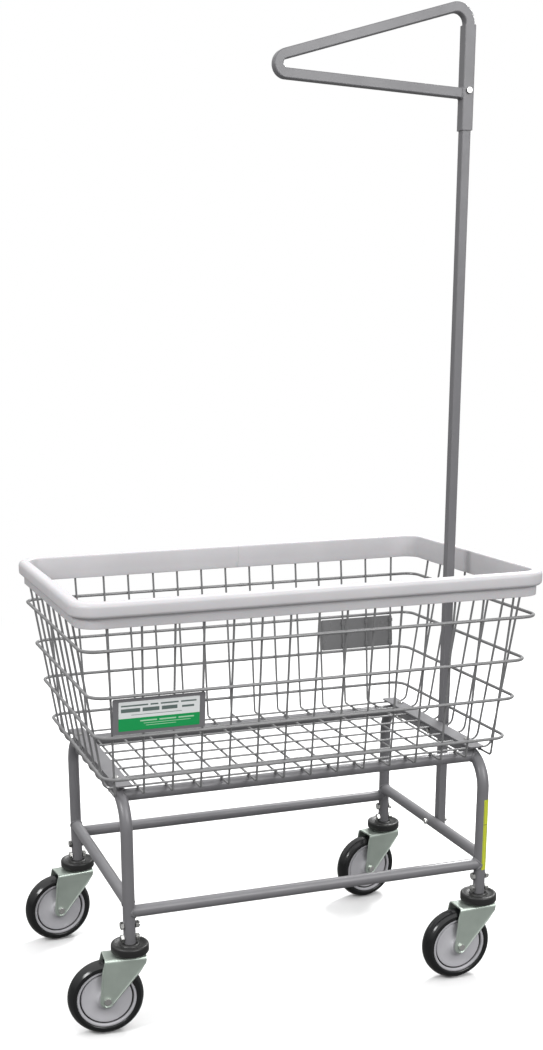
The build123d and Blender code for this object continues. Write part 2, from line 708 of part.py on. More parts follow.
for caster, (x, y) in CASTERS.items():
    place = Pos(x, y, 0) * Rot(0, 0, CASTER_DEG[caster])
    nodes[f"{caster}_fork"] = place * fork()
    nodes[f"{caster}_swivel_race"] = place * swivel_race()
    nodes[f"{caster}_axle_bolt"] = place * axle_bolt()
    nodes[f"{caster}_wheel_hub"] = place * wheel_hub()
    nodes[f"{caster}_tyre"] = place * wheel_tyre()
    nodes[f"{caster}_bearing"] = place * wheel_bearing()

# ---------------------------------------------------------------- export
os.makedirs("parts", exist_ok=True)
for name, shape in nodes.items():
    export_step(Pos(ORIGIN_X, 0, 0) * shape, f"parts/{name}.step")
print(len(nodes), "nodes written")
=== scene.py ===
# %% [markdown]
# # A linen trolley
#
# The real thing is a wire basket on a welded tube frame. It rolls on four swivel casters, wears a
# soft vinyl bumper round its rim, and carries a hanger loop on a tall pole at one end. The packed
# model already holds every size, so this lesson only gives the trolley its looks: the first cell
# loads that model, and each later cell makes one kind of piece or one finish.

# %% Load the frame
import json
from functools import partial
from math import ceil, cos, pi, radians, sin, sqrt

import bmesh
import bpy
from mathutils import Matrix, Vector


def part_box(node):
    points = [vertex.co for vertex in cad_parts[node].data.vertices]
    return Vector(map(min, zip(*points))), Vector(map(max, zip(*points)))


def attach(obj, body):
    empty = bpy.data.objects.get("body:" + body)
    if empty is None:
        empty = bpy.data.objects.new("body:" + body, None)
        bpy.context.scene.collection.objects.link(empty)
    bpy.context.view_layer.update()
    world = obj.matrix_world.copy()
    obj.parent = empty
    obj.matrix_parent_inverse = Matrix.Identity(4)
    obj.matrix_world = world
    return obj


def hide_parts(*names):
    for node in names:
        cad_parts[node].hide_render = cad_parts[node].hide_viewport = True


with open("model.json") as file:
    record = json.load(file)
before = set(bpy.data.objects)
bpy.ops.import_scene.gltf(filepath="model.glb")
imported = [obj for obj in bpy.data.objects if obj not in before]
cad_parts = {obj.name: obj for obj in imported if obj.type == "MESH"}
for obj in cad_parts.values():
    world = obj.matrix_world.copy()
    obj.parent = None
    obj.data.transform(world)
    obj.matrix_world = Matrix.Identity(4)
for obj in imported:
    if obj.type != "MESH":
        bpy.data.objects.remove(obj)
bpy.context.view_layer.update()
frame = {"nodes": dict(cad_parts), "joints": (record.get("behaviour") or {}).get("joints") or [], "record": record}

MM = 0.001
nodes = frame["nodes"]

# %% [markdown]
# ## Sizes
#
# A maker would read the main sizes off the drawing. Here they come from the boxes of the packed
# sub-parts, so that a new pack moves every piece along with it. Only stock sizes that a box can't
# show, such as the wire's thickness, are written down.

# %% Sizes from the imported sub-parts
left_lo, left_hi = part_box("left_end_frame")
right_lo, right_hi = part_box("right_end_frame")
MIDDLE_X = (left_lo.x + right_hi.x) / 2
TUBE_R = (left_hi.x - left_lo.x) / 2
LEG_X = (right_hi.x - left_lo.x) / 2 - TUBE_R
LEG_Y = left_hi.y - TUBE_R
CROSSBAR_Z = left_hi.z - TUBE_R

top_lo, top_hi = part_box("front_top_rail")
low_lo, low_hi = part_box("front_lower_rail")
end_lo, end_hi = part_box("left_lower_rail")
RAIL_R = (top_hi.z - top_lo.z) / 2
TOP_RAIL_Y = -(top_lo.y + top_hi.y) / 2
TOP_RAIL_Z = (top_lo.z + top_hi.z) / 2
LONG_RAIL_Z = (low_lo.z + low_hi.z) / 2
SHORT_RAIL_Z = (end_lo.z + end_hi.z) / 2
BEND_R = 60 * MM

WIRE_R = 2.1 * MM
cross_lo, cross_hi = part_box("cross_wires")
long_lo, long_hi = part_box("long_wires")
CROSS_Z = cross_lo.z + WIRE_R
LONG_Z = long_lo.z + WIRE_R
WIRE_TOP_Z = cross_hi.z
RIM_X = (long_hi.x - long_lo.x) / 2 - WIRE_R
RIM_Y = cross_hi.y - WIRE_R

hoop_boxes = [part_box(f"hoop_{number}") for number in (1, 2, 3, 4)]
HOOP_R = (hoop_boxes[0][1].z - hoop_boxes[0][0].z) / 2
bumper_lo, bumper_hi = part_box("rim_bumper")
print(f"legs {2 * LEG_X:.3f} by {2 * LEG_Y:.3f} m apart, rim line {2 * RIM_X:.3f} by {2 * RIM_Y:.3f} m")

# %% [markdown]
# ## Helpers for node trees and meshes
#
# Both kinds of node tree are built with the same short function: it adds a node, sets its
# properties, and gives each socket a value or a link. Mesh pieces go through one function too, so
# that every piece gets its material, its smooth shading and its place at the origin.

# %% Helpers
def add(tree, kind, inputs=None, **settings):
    """Adds a node. settings are its properties, inputs its sockets, each a value or a socket."""
    made = tree.nodes.new(kind)
    for key, value in settings.items():
        setattr(made, key, value)
    for key, value in (inputs or {}).items():
        if isinstance(value, bpy.types.NodeSocket):
            tree.links.new(value, made.inputs[key])
        else:
            made.inputs[key].default_value = value
    return made


def maths(tree, operation, *values):
    """One sum of numbers. Returns its result."""
    return add(tree, "ShaderNodeMath", dict(enumerate(values)), operation=operation).outputs[0]


def vector(tree, x=0.0, y=0.0, z=0.0):
    """Three numbers as one vector."""
    return add(tree, "ShaderNodeCombineXYZ", {0: x, 1: y, 2: z}).outputs[0]


def here(tree):
    """The position of the point that a tree is working on."""
    return add(tree, "GeometryNodeInputPosition").outputs[0]


def new_group(kind, name, inputs, outputs):
    """A node group with named inputs and outputs.

    Returns it, its given values, and three short calls for it: node adds a node, calc does one
    sum, and give hands out the results.
    """
    tree = bpy.data.node_groups.new(name, kind)
    for way, sockets in (("INPUT", inputs), ("OUTPUT", outputs)):
        for label, socket_type, *value in sockets:
            socket = tree.interface.new_socket(label, in_out=way, socket_type=socket_type)
            if value:
                socket.default_value = value[0]
    given, end = tree.nodes.new("NodeGroupInput").outputs, tree.nodes.new("NodeGroupOutput").inputs

    def give(**results):
        for label, result in results.items():
            tree.links.new(result, end[label])

    return tree, given, partial(add, tree), partial(maths, tree), give


def shade(mesh, sharp_deg=35.0):
    """Smooth shading, with a hard edge where two faces meet at more than sharp_deg."""
    mesh.shade_smooth()
    mesh.set_sharp_from_angle(angle=radians(sharp_deg))


def put(name, mesh, material, sharp_deg=35.0):
    """Links a mesh as a piece with one material."""
    mesh.name = name
    mesh.materials.clear()
    mesh.materials.append(material)
    shade(mesh, sharp_deg)
    piece = bpy.data.objects.new(name, mesh)
    bpy.context.scene.collection.objects.link(piece)
    return piece


def grid_faces(lines, count, close=True):
    """Faces of a tube: rings of count points each, the last ring joined to the first."""
    faces = []
    for k in range(lines):
        here, there = k * count, (k + 1) % lines * count
        for i in range(count if close else count - 1):
            j = (i + 1) % count
            faces.append((here + i, here + j, there + j, there + i))
    return faces


def mesh_of(points, faces):
    """A mesh from points and faces, welded, with its normals outwards."""
    mesh = bpy.data.meshes.new("mesh")
    mesh.from_pydata([tuple(p) for p in points], [], faces)
    work = bmesh.new()
    work.from_mesh(mesh)
    bmesh.ops.remove_doubles(work, verts=work.verts, dist=1e-6)
    bmesh.ops.recalc_face_normals(work, faces=work.faces)
    work.to_mesh(mesh)
    work.free()
    return mesh


def lathe(profile, segments, axis_at, axis):
    """Turns a profile of (distance along the axis, radius) about an axis."""
    turn = axis.to_track_quat("Z", "Y").to_matrix()
    points = []
    for k in range(segments):
        angle = 2 * pi * k / segments
        for along, radius in profile:
            points.append(axis_at + turn @ Vector((radius * cos(angle), radius * sin(angle), along)))
    return mesh_of(points, grid_faces(segments, len(profile)))


def arc(centre, radius, from_deg, to_deg, steps):
    """Points on an arc, to round a profile's corner."""
    turns = [radians(from_deg + (to_deg - from_deg) * k / steps) for k in range(steps + 1)]
    return [(centre[0] + radius * cos(t), centre[1] + radius * sin(t)) for t in turns]


def run_tree(name, base_mesh, tree, values, material, body, replaced=(), sharp_deg=35.0):
    """Runs a Geometry Nodes tree on a mesh and keeps the result as a plain mesh piece."""
    carrier = bpy.data.objects.new(name + "_carrier", base_mesh)
    bpy.context.scene.collection.objects.link(carrier)
    modifier = carrier.modifiers.new("tree", "NODES")
    modifier.node_group = tree
    for item in tree.interface.items_tree:
        if item.in_out == "INPUT" and item.name in values:
            modifier[item.identifier] = values[item.name]
        if item.in_out == "INPUT" and item.name == "Finish":
            modifier[item.identifier] = material
    bpy.context.view_layer.update()
    evaluated = carrier.evaluated_get(bpy.context.evaluated_depsgraph_get())
    mesh = bpy.data.meshes.new_from_object(evaluated)
    bpy.data.objects.remove(carrier)
    piece = put(name, mesh, material, sharp_deg)
    mount(piece, body, replaced)
    print(f"{name}: {len(mesh.polygons)} faces")
    return piece


def mount(piece, body, replaced=()):
    """Makes a finished piece ride on its body, and hides the imported parts that it replaces."""
    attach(piece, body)
    if replaced:
        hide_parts(*replaced)


# %% [markdown]
# ## Effects that several finishes share
#
# Sprayed powder has a fine orange peel. Plated steel has faint clouds and rolling lines. Rubber
# and vinyl pick up a dull bloom. Dust settles on whatever looks up. Each effect is one shader node
# group, built once, and each finish below sets its own values on it.

# %% Effect: orange peel and grain
FLOAT, VECTOR = "NodeSocketFloat", "NodeSocketVector"

grain, given, node, calc, give = new_group("ShaderNodeTree", "fine_grain",
    [("Place", VECTOR), ("Grain Size", FLOAT, 2.0), ("Relief", FLOAT, 0.1), ("Cloud Size", FLOAT, 60.0)],
    [("Normal", VECTOR), ("Clouds", FLOAT)])
# sizes are in millimetres, while the noise counts how often it repeats in a metre
per_metre = calc("DIVIDE", 1000.0, given["Grain Size"])
fine = node("ShaderNodeTexNoise", {"Vector": given["Place"], "Scale": per_metre, "Detail": 2.0})
broad_scale = calc("DIVIDE", 1000.0, given["Cloud Size"])
broad = node("ShaderNodeTexNoise", {"Vector": given["Place"], "Scale": broad_scale, "Detail": 4.0,
    "Roughness": 0.6})
relief = node("ShaderNodeBump", {"Strength": given["Relief"], "Distance": 0.3 * MM,
    "Height": fine.outputs["Fac"]})
give(Normal=relief.outputs["Normal"], Clouds=broad.outputs["Fac"])

# %% Effect: scuffs and scratches
scuffs, given, node, calc, give = new_group("ShaderNodeTree", "scuffs",
    [("Place", VECTOR), ("Spacing", FLOAT, 40.0), ("Amount", FLOAT, 0.3), ("Low To", FLOAT, 10.0)],
    [("Mask", FLOAT)])
stretched = node("ShaderNodeMapping", {"Vector": given["Place"], "Scale": (1.0, 1.0, 0.25),
    "Rotation": (0.3, 0.5, 0.0)})
scuff_scale = calc("DIVIDE", 1000.0, given["Spacing"])
marks = node("ShaderNodeTexNoise", {"Vector": stretched.outputs["Vector"], "Scale": scuff_scale,
    "Detail": 8.0, "Roughness": 0.75})
edge = calc("SUBTRACT", 0.78, calc("MULTIPLY", given["Amount"], 0.3))
over = calc("MULTIPLY", calc("SUBTRACT", marks.outputs["Fac"], edge), 12.0)
clipped = calc("MINIMUM", calc("MAXIMUM", over, 0.0), 1.0)
# marks gather below the height Low To, where feet and kerbs reach
height = node("ShaderNodeSeparateXYZ", {0: given["Place"]}).outputs["Z"]
below = calc("SUBTRACT", given["Low To"], height)
lower = calc("MINIMUM", calc("MAXIMUM", calc("MULTIPLY", below, 4.0), 0.25), 1.0)
give(Mask=calc("MULTIPLY", clipped, lower))

# %% Effect: dust that settles on what faces up
dust, given, node, calc, give = new_group("ShaderNodeTree", "settled_dust",
    [("Place", VECTOR), ("Amount", FLOAT, 0.2)], [("Mask", FLOAT)])
facing = node("ShaderNodeNewGeometry")
up = node("ShaderNodeSeparateXYZ", {0: facing.outputs["Normal"]}).outputs["Z"]
up_only = calc("POWER", calc("MAXIMUM", up, 0.0), 3.0)
patches = node("ShaderNodeTexNoise", {"Vector": given["Place"], "Scale": 35.0, "Detail": 5.0})
spread = calc("MULTIPLY", up_only, calc("MULTIPLY", patches.outputs["Fac"], 1.6))
give(Mask=calc("MULTIPLY", spread, given["Amount"]))

# %% Effect: plated steel
plating, given, node, calc, give = new_group("ShaderNodeTree", "zinc_plating",
    [("Place", VECTOR), ("Line Spacing", FLOAT, 1.2), ("Cloud Size", FLOAT, 25.0)],
    [("Streak", FLOAT), ("Clouds", FLOAT), ("Normal", VECTOR)])
rolled = node("ShaderNodeMapping", {"Vector": given["Place"], "Scale": (1.0, 1.0, 0.06)})
line_scale = calc("DIVIDE", 1000.0, given["Line Spacing"])
streak = node("ShaderNodeTexNoise", {"Vector": rolled.outputs["Vector"], "Scale": line_scale,
    "Detail": 3.0})
cloud_scale = calc("DIVIDE", 1000.0, given["Cloud Size"])
spangle = node("ShaderNodeTexNoise", {"Vector": given["Place"], "Scale": cloud_scale, "Detail": 3.0})
rolling = node("ShaderNodeBump", {"Strength": 0.05, "Distance": 0.1 * MM, "Height": streak.outputs["Fac"]})
give(Streak=streak.outputs["Fac"], Clouds=spangle.outputs["Fac"], Normal=rolling.outputs["Normal"])


# %% A start for each finish
def new_finish(name, **shader_values):
    """A material with one Principled shader. Returns its tree, shader and Object coordinates."""
    material = bpy.data.materials.new(name)
    material.use_nodes = True
    tree = material.node_tree
    shader = tree.nodes["Principled BSDF"]
    for key, value in shader_values.items():
        shader.inputs[key.replace("_", " ")].default_value = value
    place = tree.nodes.new("ShaderNodeTexCoord").outputs["Object"]
    return material, tree, shader, place


def use(tree, group, inputs):
    """Places a node group in a material with its own values."""
    return add(tree, "ShaderNodeGroup", inputs, node_tree=group)


def between(tree, mask, low, high):
    """A colour or value that goes from low to high with the mask."""
    if isinstance(low, (int, float)):
        scaled = add(tree, "ShaderNodeMapRange", {"Value": mask, "To Min": low, "To Max": high})
        return scaled.outputs["Result"]
    mixed = add(tree, "ShaderNodeMix", data_type="RGBA")
    for socket, value in ((mixed.inputs[0], mask), (mixed.inputs[6], low), (mixed.inputs[7], high)):
        if isinstance(value, bpy.types.NodeSocket):
            tree.links.new(value, socket)
        else:
            socket.default_value = value
    return mixed.outputs[2]


def dress(shader, colour, rough, normal):
    """Gives a shader its colour, its roughness and its fine relief."""
    for label, source in (("Base Color", colour), ("Roughness", rough), ("Normal", normal)):
        shader.id_data.links.new(source, shader.inputs[label])


def grey(value, tint=(0.0, 0.0, 0.0)):
    """A grey with a slight tint."""
    return (value + tint[0], value + tint[1], value + tint[2], 1.0)


# %% [markdown]
# ## Finish: grey powder coat
#
# The tubes, straps, plates, pole and hanger are sprayed with grey powder and baked. It is
# semi-gloss, slightly uneven in colour, with a fine orange peel, and rubbed brighter low down.

# %% Finish: powder coat and coated wire
def sprayed(name, colour, darker, rubbed, grain_mm, relief_amount, rough, scuff_amount):
    """Sprayed and baked powder over steel."""
    material, tree, shader, place = new_finish(name, Specular_IOR_Level=0.5)
    peel = use(tree, grain, {"Place": place, "Grain Size": grain_mm, "Relief": relief_amount})
    worn = use(tree, scuffs, {"Place": place, "Spacing": 30.0, "Amount": scuff_amount, "Low To": 0.55})
    settled = use(tree, dust, {"Place": place, "Amount": 0.10})
    coat = between(tree, peel.outputs["Clouds"], darker, colour)
    coat = between(tree, worn.outputs["Mask"], coat, rubbed)
    coat = between(tree, settled.outputs["Mask"], coat, grey(0.42))
    gloss = between(tree, peel.outputs["Clouds"], rough + 0.06, rough - 0.06)
    gloss = maths(tree, "ADD", gloss, maths(tree, "MULTIPLY", worn.outputs["Mask"], 0.15))
    dress(shader, coat, gloss, peel.outputs["Normal"])
    return material


powder_coat = sprayed("powder_coat", grey(0.185, (0.0, -0.002, 0.008)), grey(0.145, (0.0, -0.002, 0.006)),
    grey(0.30), 1.6, 0.25, 0.34, 0.35)
coated_wire = sprayed("coated_wire", grey(0.205, (0.0, 0.0, 0.003)), grey(0.155, (0.0, 0.0, 0.003)),
    grey(0.32), 1.2, 0.15, 0.28, 0.25)

# %% [markdown]
# ## Finish: off-white vinyl
#
# The bumper is a soft extruded vinyl. It is nearly white, a little cloudy, with a faint leathery
# grain, and it greys where hands and walls rub it.

# %% Finish: vinyl
vinyl, tree, shader, place = new_finish("vinyl_bumper", Subsurface_Weight=0.06, Subsurface_Scale=0.004,
    Coat_Roughness=0.4)
skin = use(tree, grain, {"Place": place, "Grain Size": 1.3, "Relief": 0.12, "Cloud Size": 90.0})
rubs = use(tree, scuffs, {"Place": place, "Spacing": 45.0, "Amount": 0.32, "Low To": 5.0})
clean = between(tree, skin.outputs["Clouds"], grey(0.48, (0.006, -0.004, 0.012)),
    grey(0.57, (0.006, -0.004, 0.012)))
rubbed = between(tree, rubs.outputs["Mask"], clean, grey(0.44))
dress(shader, rubbed, between(tree, skin.outputs["Clouds"], 0.5, 0.38), skin.outputs["Normal"])

# %% [markdown]
# ## Finish: zinc plating
#
# The forks are pressed from plated sheet and look slightly green, with long rolling streaks. The
# bolts and nuts have the same plating, brighter, because they are new stock.

# %% Finish: zinc
def plated(name, dark, light, rough_low, rough_high, line_mm, metal):
    """Zinc plating over steel."""
    material, tree, shader, place = new_finish(name)
    skin = use(tree, plating, {"Place": place, "Line Spacing": line_mm})
    tone = between(tree, skin.outputs["Clouds"], dark, light)
    streaked = between(tree, maths(tree, "MULTIPLY", skin.outputs["Streak"], 0.45), tone, light)
    dress(shader, streaked, between(tree, skin.outputs["Streak"], rough_low, rough_high),
        skin.outputs["Normal"])
    shader.inputs["Metallic"].default_value = metal
    return material


zinc_fork = plated("zinc_fork", (0.40, 0.46, 0.41, 1), (0.56, 0.63, 0.57, 1), 0.30, 0.44, 1.4, 0.7)
zinc_hardware = plated("zinc_hardware", (0.62, 0.62, 0.60, 1), (0.82, 0.82, 0.80, 1), 0.16, 0.3, 0.8, 1.0)

# %% [markdown]
# ## Finish: rubber, tyre and wheel centre
#
# The bumper discs are dull black rubber with a grey bloom. The tyres are a harder, glossier
# black. The wheel centres are moulded in pale grey plastic with a fine texture.

# %% Finish: rubber and plastic
def moulded(
    name, dark, light, rough_low, rough_high, grain_mm, relief_amount, marked, scuff_amount, dust_amount
):
    """Moulded rubber or plastic, with painted shade where the mesh marks a groove."""
    material, tree, shader, place = new_finish(name)
    skin = use(tree, grain, {"Place": place, "Grain Size": grain_mm, "Relief": relief_amount,
        "Cloud Size": 30.0})
    worn = use(tree, scuffs, {"Place": place, "Spacing": 12.0, "Amount": scuff_amount, "Low To": 1.0})
    settled = use(tree, dust, {"Place": place, "Amount": dust_amount})
    tone = between(tree, skin.outputs["Clouds"], dark, light)
    tone = between(tree, worn.outputs["Mask"], tone, marked)
    tone = between(tree, settled.outputs["Mask"], tone, grey(0.25))
    # painted shade: where the mesh marks a groove, the colour turns nearly black
    groove = add(tree, "ShaderNodeAttribute", attribute_name="groove").outputs["Fac"]
    tone = between(tree, groove, tone, grey(0.025))
    dress(shader, tone, between(tree, skin.outputs["Clouds"], rough_low, rough_high),
        skin.outputs["Normal"])
    return material


black_rubber = moulded("black_rubber", grey(0.009), grey(0.018), 0.34, 0.5, 0.9, 0.25, grey(0.05), 0.35,
    0.04)
black_tyre = moulded("black_tyre", grey(0.005, (0, 0.0005, 0.001)), grey(0.009, (0, 0.0005, 0.001)), 0.12,
    0.22, 1.2, 0.06, grey(0.03), 0.25, 0.02)
# the groove near the wheel centre's edge gets painted shade, a dark line in its colour, marked on the mesh
wheel_grey = moulded("wheel_grey", grey(0.44, (0, -0.004, 0.02)), grey(0.54, (0, -0.004, 0.02)), 0.30, 0.42,
    0.8, 0.08, grey(0.34), 0.30, 0.06)

# %% [markdown]
# ## Finish: the printed label and the marker strip
#
# The label is a printed sticker: a white upper part and a green lower part. Its print is only
# suggested, with plain bars, so that nothing on it can be read. One shader group draws a bar from
# its four edges, and each bar is another copy of that group. A Mapping node puts the pattern's
# middle on the middle of the sticker.

# %% Effect: one printed bar
bar, given, node, calc, give = new_group("ShaderNodeTree", "printed_bar",
    [("Across", FLOAT), ("Up", FLOAT), ("Left", FLOAT), ("Right", FLOAT), ("Bottom", FLOAT),
    ("Top", FLOAT)], [("Mask", FLOAT)])
edges = (("Across", "Left"), ("Right", "Across"), ("Up", "Bottom"), ("Top", "Up"))
inside = 1.0
for high_side, low_side in edges:
    past = calc("SUBTRACT", given[high_side], given[low_side])
    soft = calc("MAXIMUM", calc("MULTIPLY", past, 4.0 / MM), 0.0)
    inside = calc("MULTIPLY", calc("MINIMUM", soft, 1.0), inside)
give(Mask=inside)


def printed(name, node, rough):
    """A printed sticker. Returns its parts, and a painter that adds a bar to its colour."""
    low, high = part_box(node)
    material, tree, shader, place = new_finish(name, Roughness=rough)
    centred = add(tree, "ShaderNodeMapping", {"Vector": place, "Location": tuple(-(low + high) / 2)})
    parts = add(tree, "ShaderNodeSeparateXYZ", {0: centred.outputs["Vector"]})

    def paint(under, colour, left, right, bottom, top, across="X"):
        one = use(tree, bar, {"Across": parts.outputs[across], "Up": parts.outputs["Z"], "Left": left * MM,
            "Right": right * MM, "Bottom": bottom * MM, "Top": top * MM})
        return between(tree, one.outputs["Mask"], under, colour)

    return material, tree, shader, place, paint


# %% Finish: label
label_face, tree, shader, place, paint = printed("label_face", "front_label", 0.3)
white, ink = (0.74, 0.76, 0.76, 1), (0.11, 0.15, 0.14, 1)
green, pale = (0.004, 0.31, 0.08, 1), (0.42, 0.66, 0.46, 1)
face_colour = paint(white, green, -80, 80, -40, -3.5)
bars = [(-68, -20, 17.5, 20.5), (-16, -2, 17.5, 20.5), (2, 34, 17.5, 20.5), (38, 66, 17.5, 20.5)]
bars += [(-68, -34, 7, 14), (-30, 0, 7, 14), (4, 32, 7, 14), (40, 62, 8, 12)]
bars += [(-50, 40, 1.5, 2.6)]
pale_bars = [(-34, -4, -11, -8.4), (0, 30, -11, -8.4), (34, 62, -11, -8.4)]
pale_bars += [(-28, 56, -15, -13.8), (-24, 30, -19, -17.8)]
for colour, group in ((ink, bars), (pale, pale_bars)):
    for edges_mm in group:
        face_colour = paint(face_colour, colour, *edges_mm)
film = use(tree, grain, {"Place": place, "Grain Size": 3.0, "Relief": 0.05})
worn = use(tree, scuffs, {"Place": place, "Spacing": 20.0, "Amount": 0.25, "Low To": 5.0})
face_colour = between(tree, worn.outputs["Mask"], face_colour, grey(0.5))
dress(shader, face_colour, between(tree, film.outputs["Clouds"], 0.36, 0.24), film.outputs["Normal"])
print("label bars:", len(bars))

# %% Finish: marker strip
marker_strip, tree, shader, place, paint = printed("marker_strip", "leg_marker", 0.35)
yellow, dark = (0.56, 0.62, 0.035, 1), (0.10, 0.10, 0.05, 1)
strip = paint(yellow, dark, -5.0, -4.2, -68, 68)
strip = paint(strip, dark, 1.0, 1.8, -64, 18)
strip = paint(strip, dark, -8, 8, 20.5, 22)
film = use(tree, grain, {"Place": place, "Grain Size": 3.0, "Relief": 0.05})
strip = between(tree, maths(tree, "MULTIPLY", film.outputs["Clouds"], 0.3), strip, (0.42, 0.47, 0.04, 1))
dress(shader, strip, between(tree, film.outputs["Clouds"], 0.42, 0.28), film.outputs["Normal"])

# %% [markdown]
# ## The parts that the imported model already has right
#
# Plain tubes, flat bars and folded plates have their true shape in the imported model. They only
# need their finish, so each one's material slot is given the material made above.

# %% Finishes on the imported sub-parts
FINISH = {"powder_coat": powder_coat, "coated_wire": coated_wire, "vinyl_bumper": vinyl,
    "label_face": label_face, "marker_strip": marker_strip, "black_rubber": black_rubber,
    "black_tyre": black_tyre, "wheel_grey": wheel_grey, "zinc_fork": zinc_fork,
    "zinc_hardware": zinc_hardware}
for part in frame["record"]["subparts"]:
    shown = nodes[part["node"]]
    if not shown.material_slots:
        shown.data.materials.append(None)
    for material_slot in shown.material_slots:
        material_slot.material = FINISH[part["material_slot"]]
print("finishes:", len(FINISH))

# %% [markdown]
# ## Basket wires
#
# Each basket wire is one rod bent into a wide U: down a wall, across the floor and up the far
# wall. Fifteen of them run across the trolley and eight run along it. They all follow one rule, so
# a Geometry Nodes tree draws one wire, rounds its four bends, copies it along the row and leans
# the outermost copies outwards, as the real ones are squeezed into the rim's corners. A few tenths
# of a millimetre of chance keep the row from looking ruled.

# %% Tree: a row of bent wires
GEO, WHOLE, MATERIAL = "NodeSocketGeometry", "NodeSocketInt", "NodeSocketMaterial"
OBJECT = "NodeSocketObject"


def pick(tree, kind, index, values):
    """A value chosen by an index."""
    chooser = add(tree, "GeometryNodeIndexSwitch", data_type=kind)
    while len(chooser.index_switch_items) < len(values):
        chooser.index_switch_items.new()
    tree.links.new(index, chooser.inputs["Index"])
    for k, value in enumerate(values, start=1):
        if isinstance(value, bpy.types.NodeSocket):
            tree.links.new(value, chooser.inputs[k])
        else:
            chooser.inputs[k].default_value = value
    return chooser.outputs[0]


def round_wire(tree, curve, radius, sides, scale=None):
    """Gives a curve a round section with closed ends."""
    section = add(tree, "GeometryNodeCurvePrimitiveCircle", {"Resolution": sides, "Radius": radius})
    sockets = {"Curve": curve, "Profile Curve": section.outputs["Curve"], "Fill Caps": True}
    if scale is not None:
        sockets["Scale"] = scale
    return add(tree, "GeometryNodeCurveToMesh", sockets).outputs["Mesh"]


def end_tree(tree, geometry, finish, give):
    """Every tree ends in plain geometry with its material."""
    plain = add(tree, "GeometryNodeRealizeInstances", {"Geometry": geometry})
    painted = add(tree, "GeometryNodeSetMaterial", {"Geometry": plain.outputs[0], "Material": finish})
    give(Geometry=painted.outputs["Geometry"])


row_inputs = "Pitch|Row Shift|Floor Reach|Rim Reach|Floor Height|Knee Height|Top Height|Foot Bend|Knee Bend"
row_inputs += "|Wire Radius|Outer Lean|Next Lean|First Inset|Turn|Middle X"
wire_row, w, node, calc, give = new_group("GeometryNodeTree", "wire_row",
    [("Geometry", GEO), ("Count", WHOLE, 10), *[(label, FLOAT) for label in row_inputs.split("|")],
    ("Finish", MATERIAL)], [("Geometry", GEO)])
index = node("GeometryNodeInputIndex").outputs[0]
near_rim = calc("MULTIPLY", w["Rim Reach"], -1.0)
near_floor = calc("MULTIPLY", w["Floor Reach"], -1.0)
bends = [(near_rim, w["Top Height"]), (near_rim, w["Knee Height"]), (near_floor, w["Floor Height"]),
    (w["Floor Reach"], w["Floor Height"]), (w["Rim Reach"], w["Knee Height"]),
    (w["Rim Reach"], w["Top Height"])]
corners = [vector(wire_row, 0.0, reach, high) for reach, high in bends]
six = node("GeometryNodeMeshLine", {"Count": 6})
run = node("GeometryNodeMeshToCurve", {"Mesh": six.outputs["Mesh"]})
bent = node("GeometryNodeSetPosition", {"Geometry": run.outputs[0],
    "Position": pick(wire_row, "VECTOR", index, corners)})
bend_radii = [0.0, w["Knee Bend"], w["Foot Bend"], w["Foot Bend"], w["Knee Bend"], 0.0]
rounded = node("GeometryNodeFilletCurve", {"Curve": bent.outputs[0], "Count": 6,
    "Radius": pick(wire_row, "FLOAT", index, bend_radii)}, mode="POLY")
copies = node("GeometryNodeDuplicateElements", {"Geometry": rounded.outputs[0], "Amount": w["Count"]},
    domain="SPLINE")
number = copies.outputs["Duplicate Index"]
last = calc("SUBTRACT", w["Count"], 1.0)
from_middle = calc("SUBTRACT", number, calc("MULTIPLY", last, 0.5))
from_end = calc("MINIMUM", number, calc("SUBTRACT", last, number))
outermost = calc("LESS_THAN", from_end, 0.5)
second = calc("SUBTRACT", calc("LESS_THAN", from_end, 1.5), outermost)
place_now = node("ShaderNodeSeparateXYZ", {0: here(wire_row)})
climb = node("ShaderNodeMapRange", {"Value": place_now.outputs["Z"], "From Min": w["Floor Height"],
    "From Max": w["Knee Height"]}).outputs["Result"]
lean_by = calc("ADD", calc("MULTIPLY", w["Outer Lean"], outermost),
    calc("MULTIPLY", w["Next Lean"], second))
lean_by = calc("MULTIPLY", lean_by, calc("SIGN", from_middle))
chance = node("FunctionNodeRandomValue", {2: -0.8 * MM, 3: 0.8 * MM, "ID": number, "Seed": 4},
    data_type="FLOAT").outputs[1]
sideways = calc("MULTIPLY", calc("ADD", lean_by, chance), climb)
along_row = calc("ADD", calc("MULTIPLY", from_middle, w["Pitch"]), w["Row Shift"])
first_only = calc("MULTIPLY", calc("LESS_THAN", number, 0.5), w["First Inset"])
inwards = calc("MULTIPLY", calc("SIGN", place_now.outputs["Y"]), -1.0)
inset = calc("MULTIPLY", calc("MULTIPLY", first_only, inwards), calc("SUBTRACT", 1.0, climb))
move = vector(wire_row, calc("ADD", along_row, sideways), inset)
spread_out = node("GeometryNodeSetPosition", {"Geometry": copies.outputs["Geometry"], "Offset": move})
wires = round_wire(wire_row, spread_out.outputs[0], w["Wire Radius"], 8)
turned = node("GeometryNodeTransform", {"Geometry": wires, "Translation": vector(wire_row, w["Middle X"]),
    "Rotation": vector(wire_row, z=w["Turn"])})
end_tree(wire_row, turned.outputs[0], w["Finish"], give)

# %% Pieces: cross wires and long wires
CROSS_COUNT, CROSS_PITCH, CROSS_SHIFT = 15, 52.1 * MM, -5.0 * MM
LONG_COUNT, LONG_PITCH = 8, 52.0 * MM
FLOOR_Y = 220.5 * MM
WALL_TURN_Z = 750.0 * MM
SLOPE_Y = (RIM_Y - FLOOR_Y) / (WALL_TURN_Z - CROSS_Z)
FLOOR_X = 379.5 * MM
SLOPE_X = (RIM_X - FLOOR_X) / (WALL_TURN_Z - CROSS_Z)
OUTER_LEAN, NEXT_LEAN = 13.0 * MM, 5.0 * MM

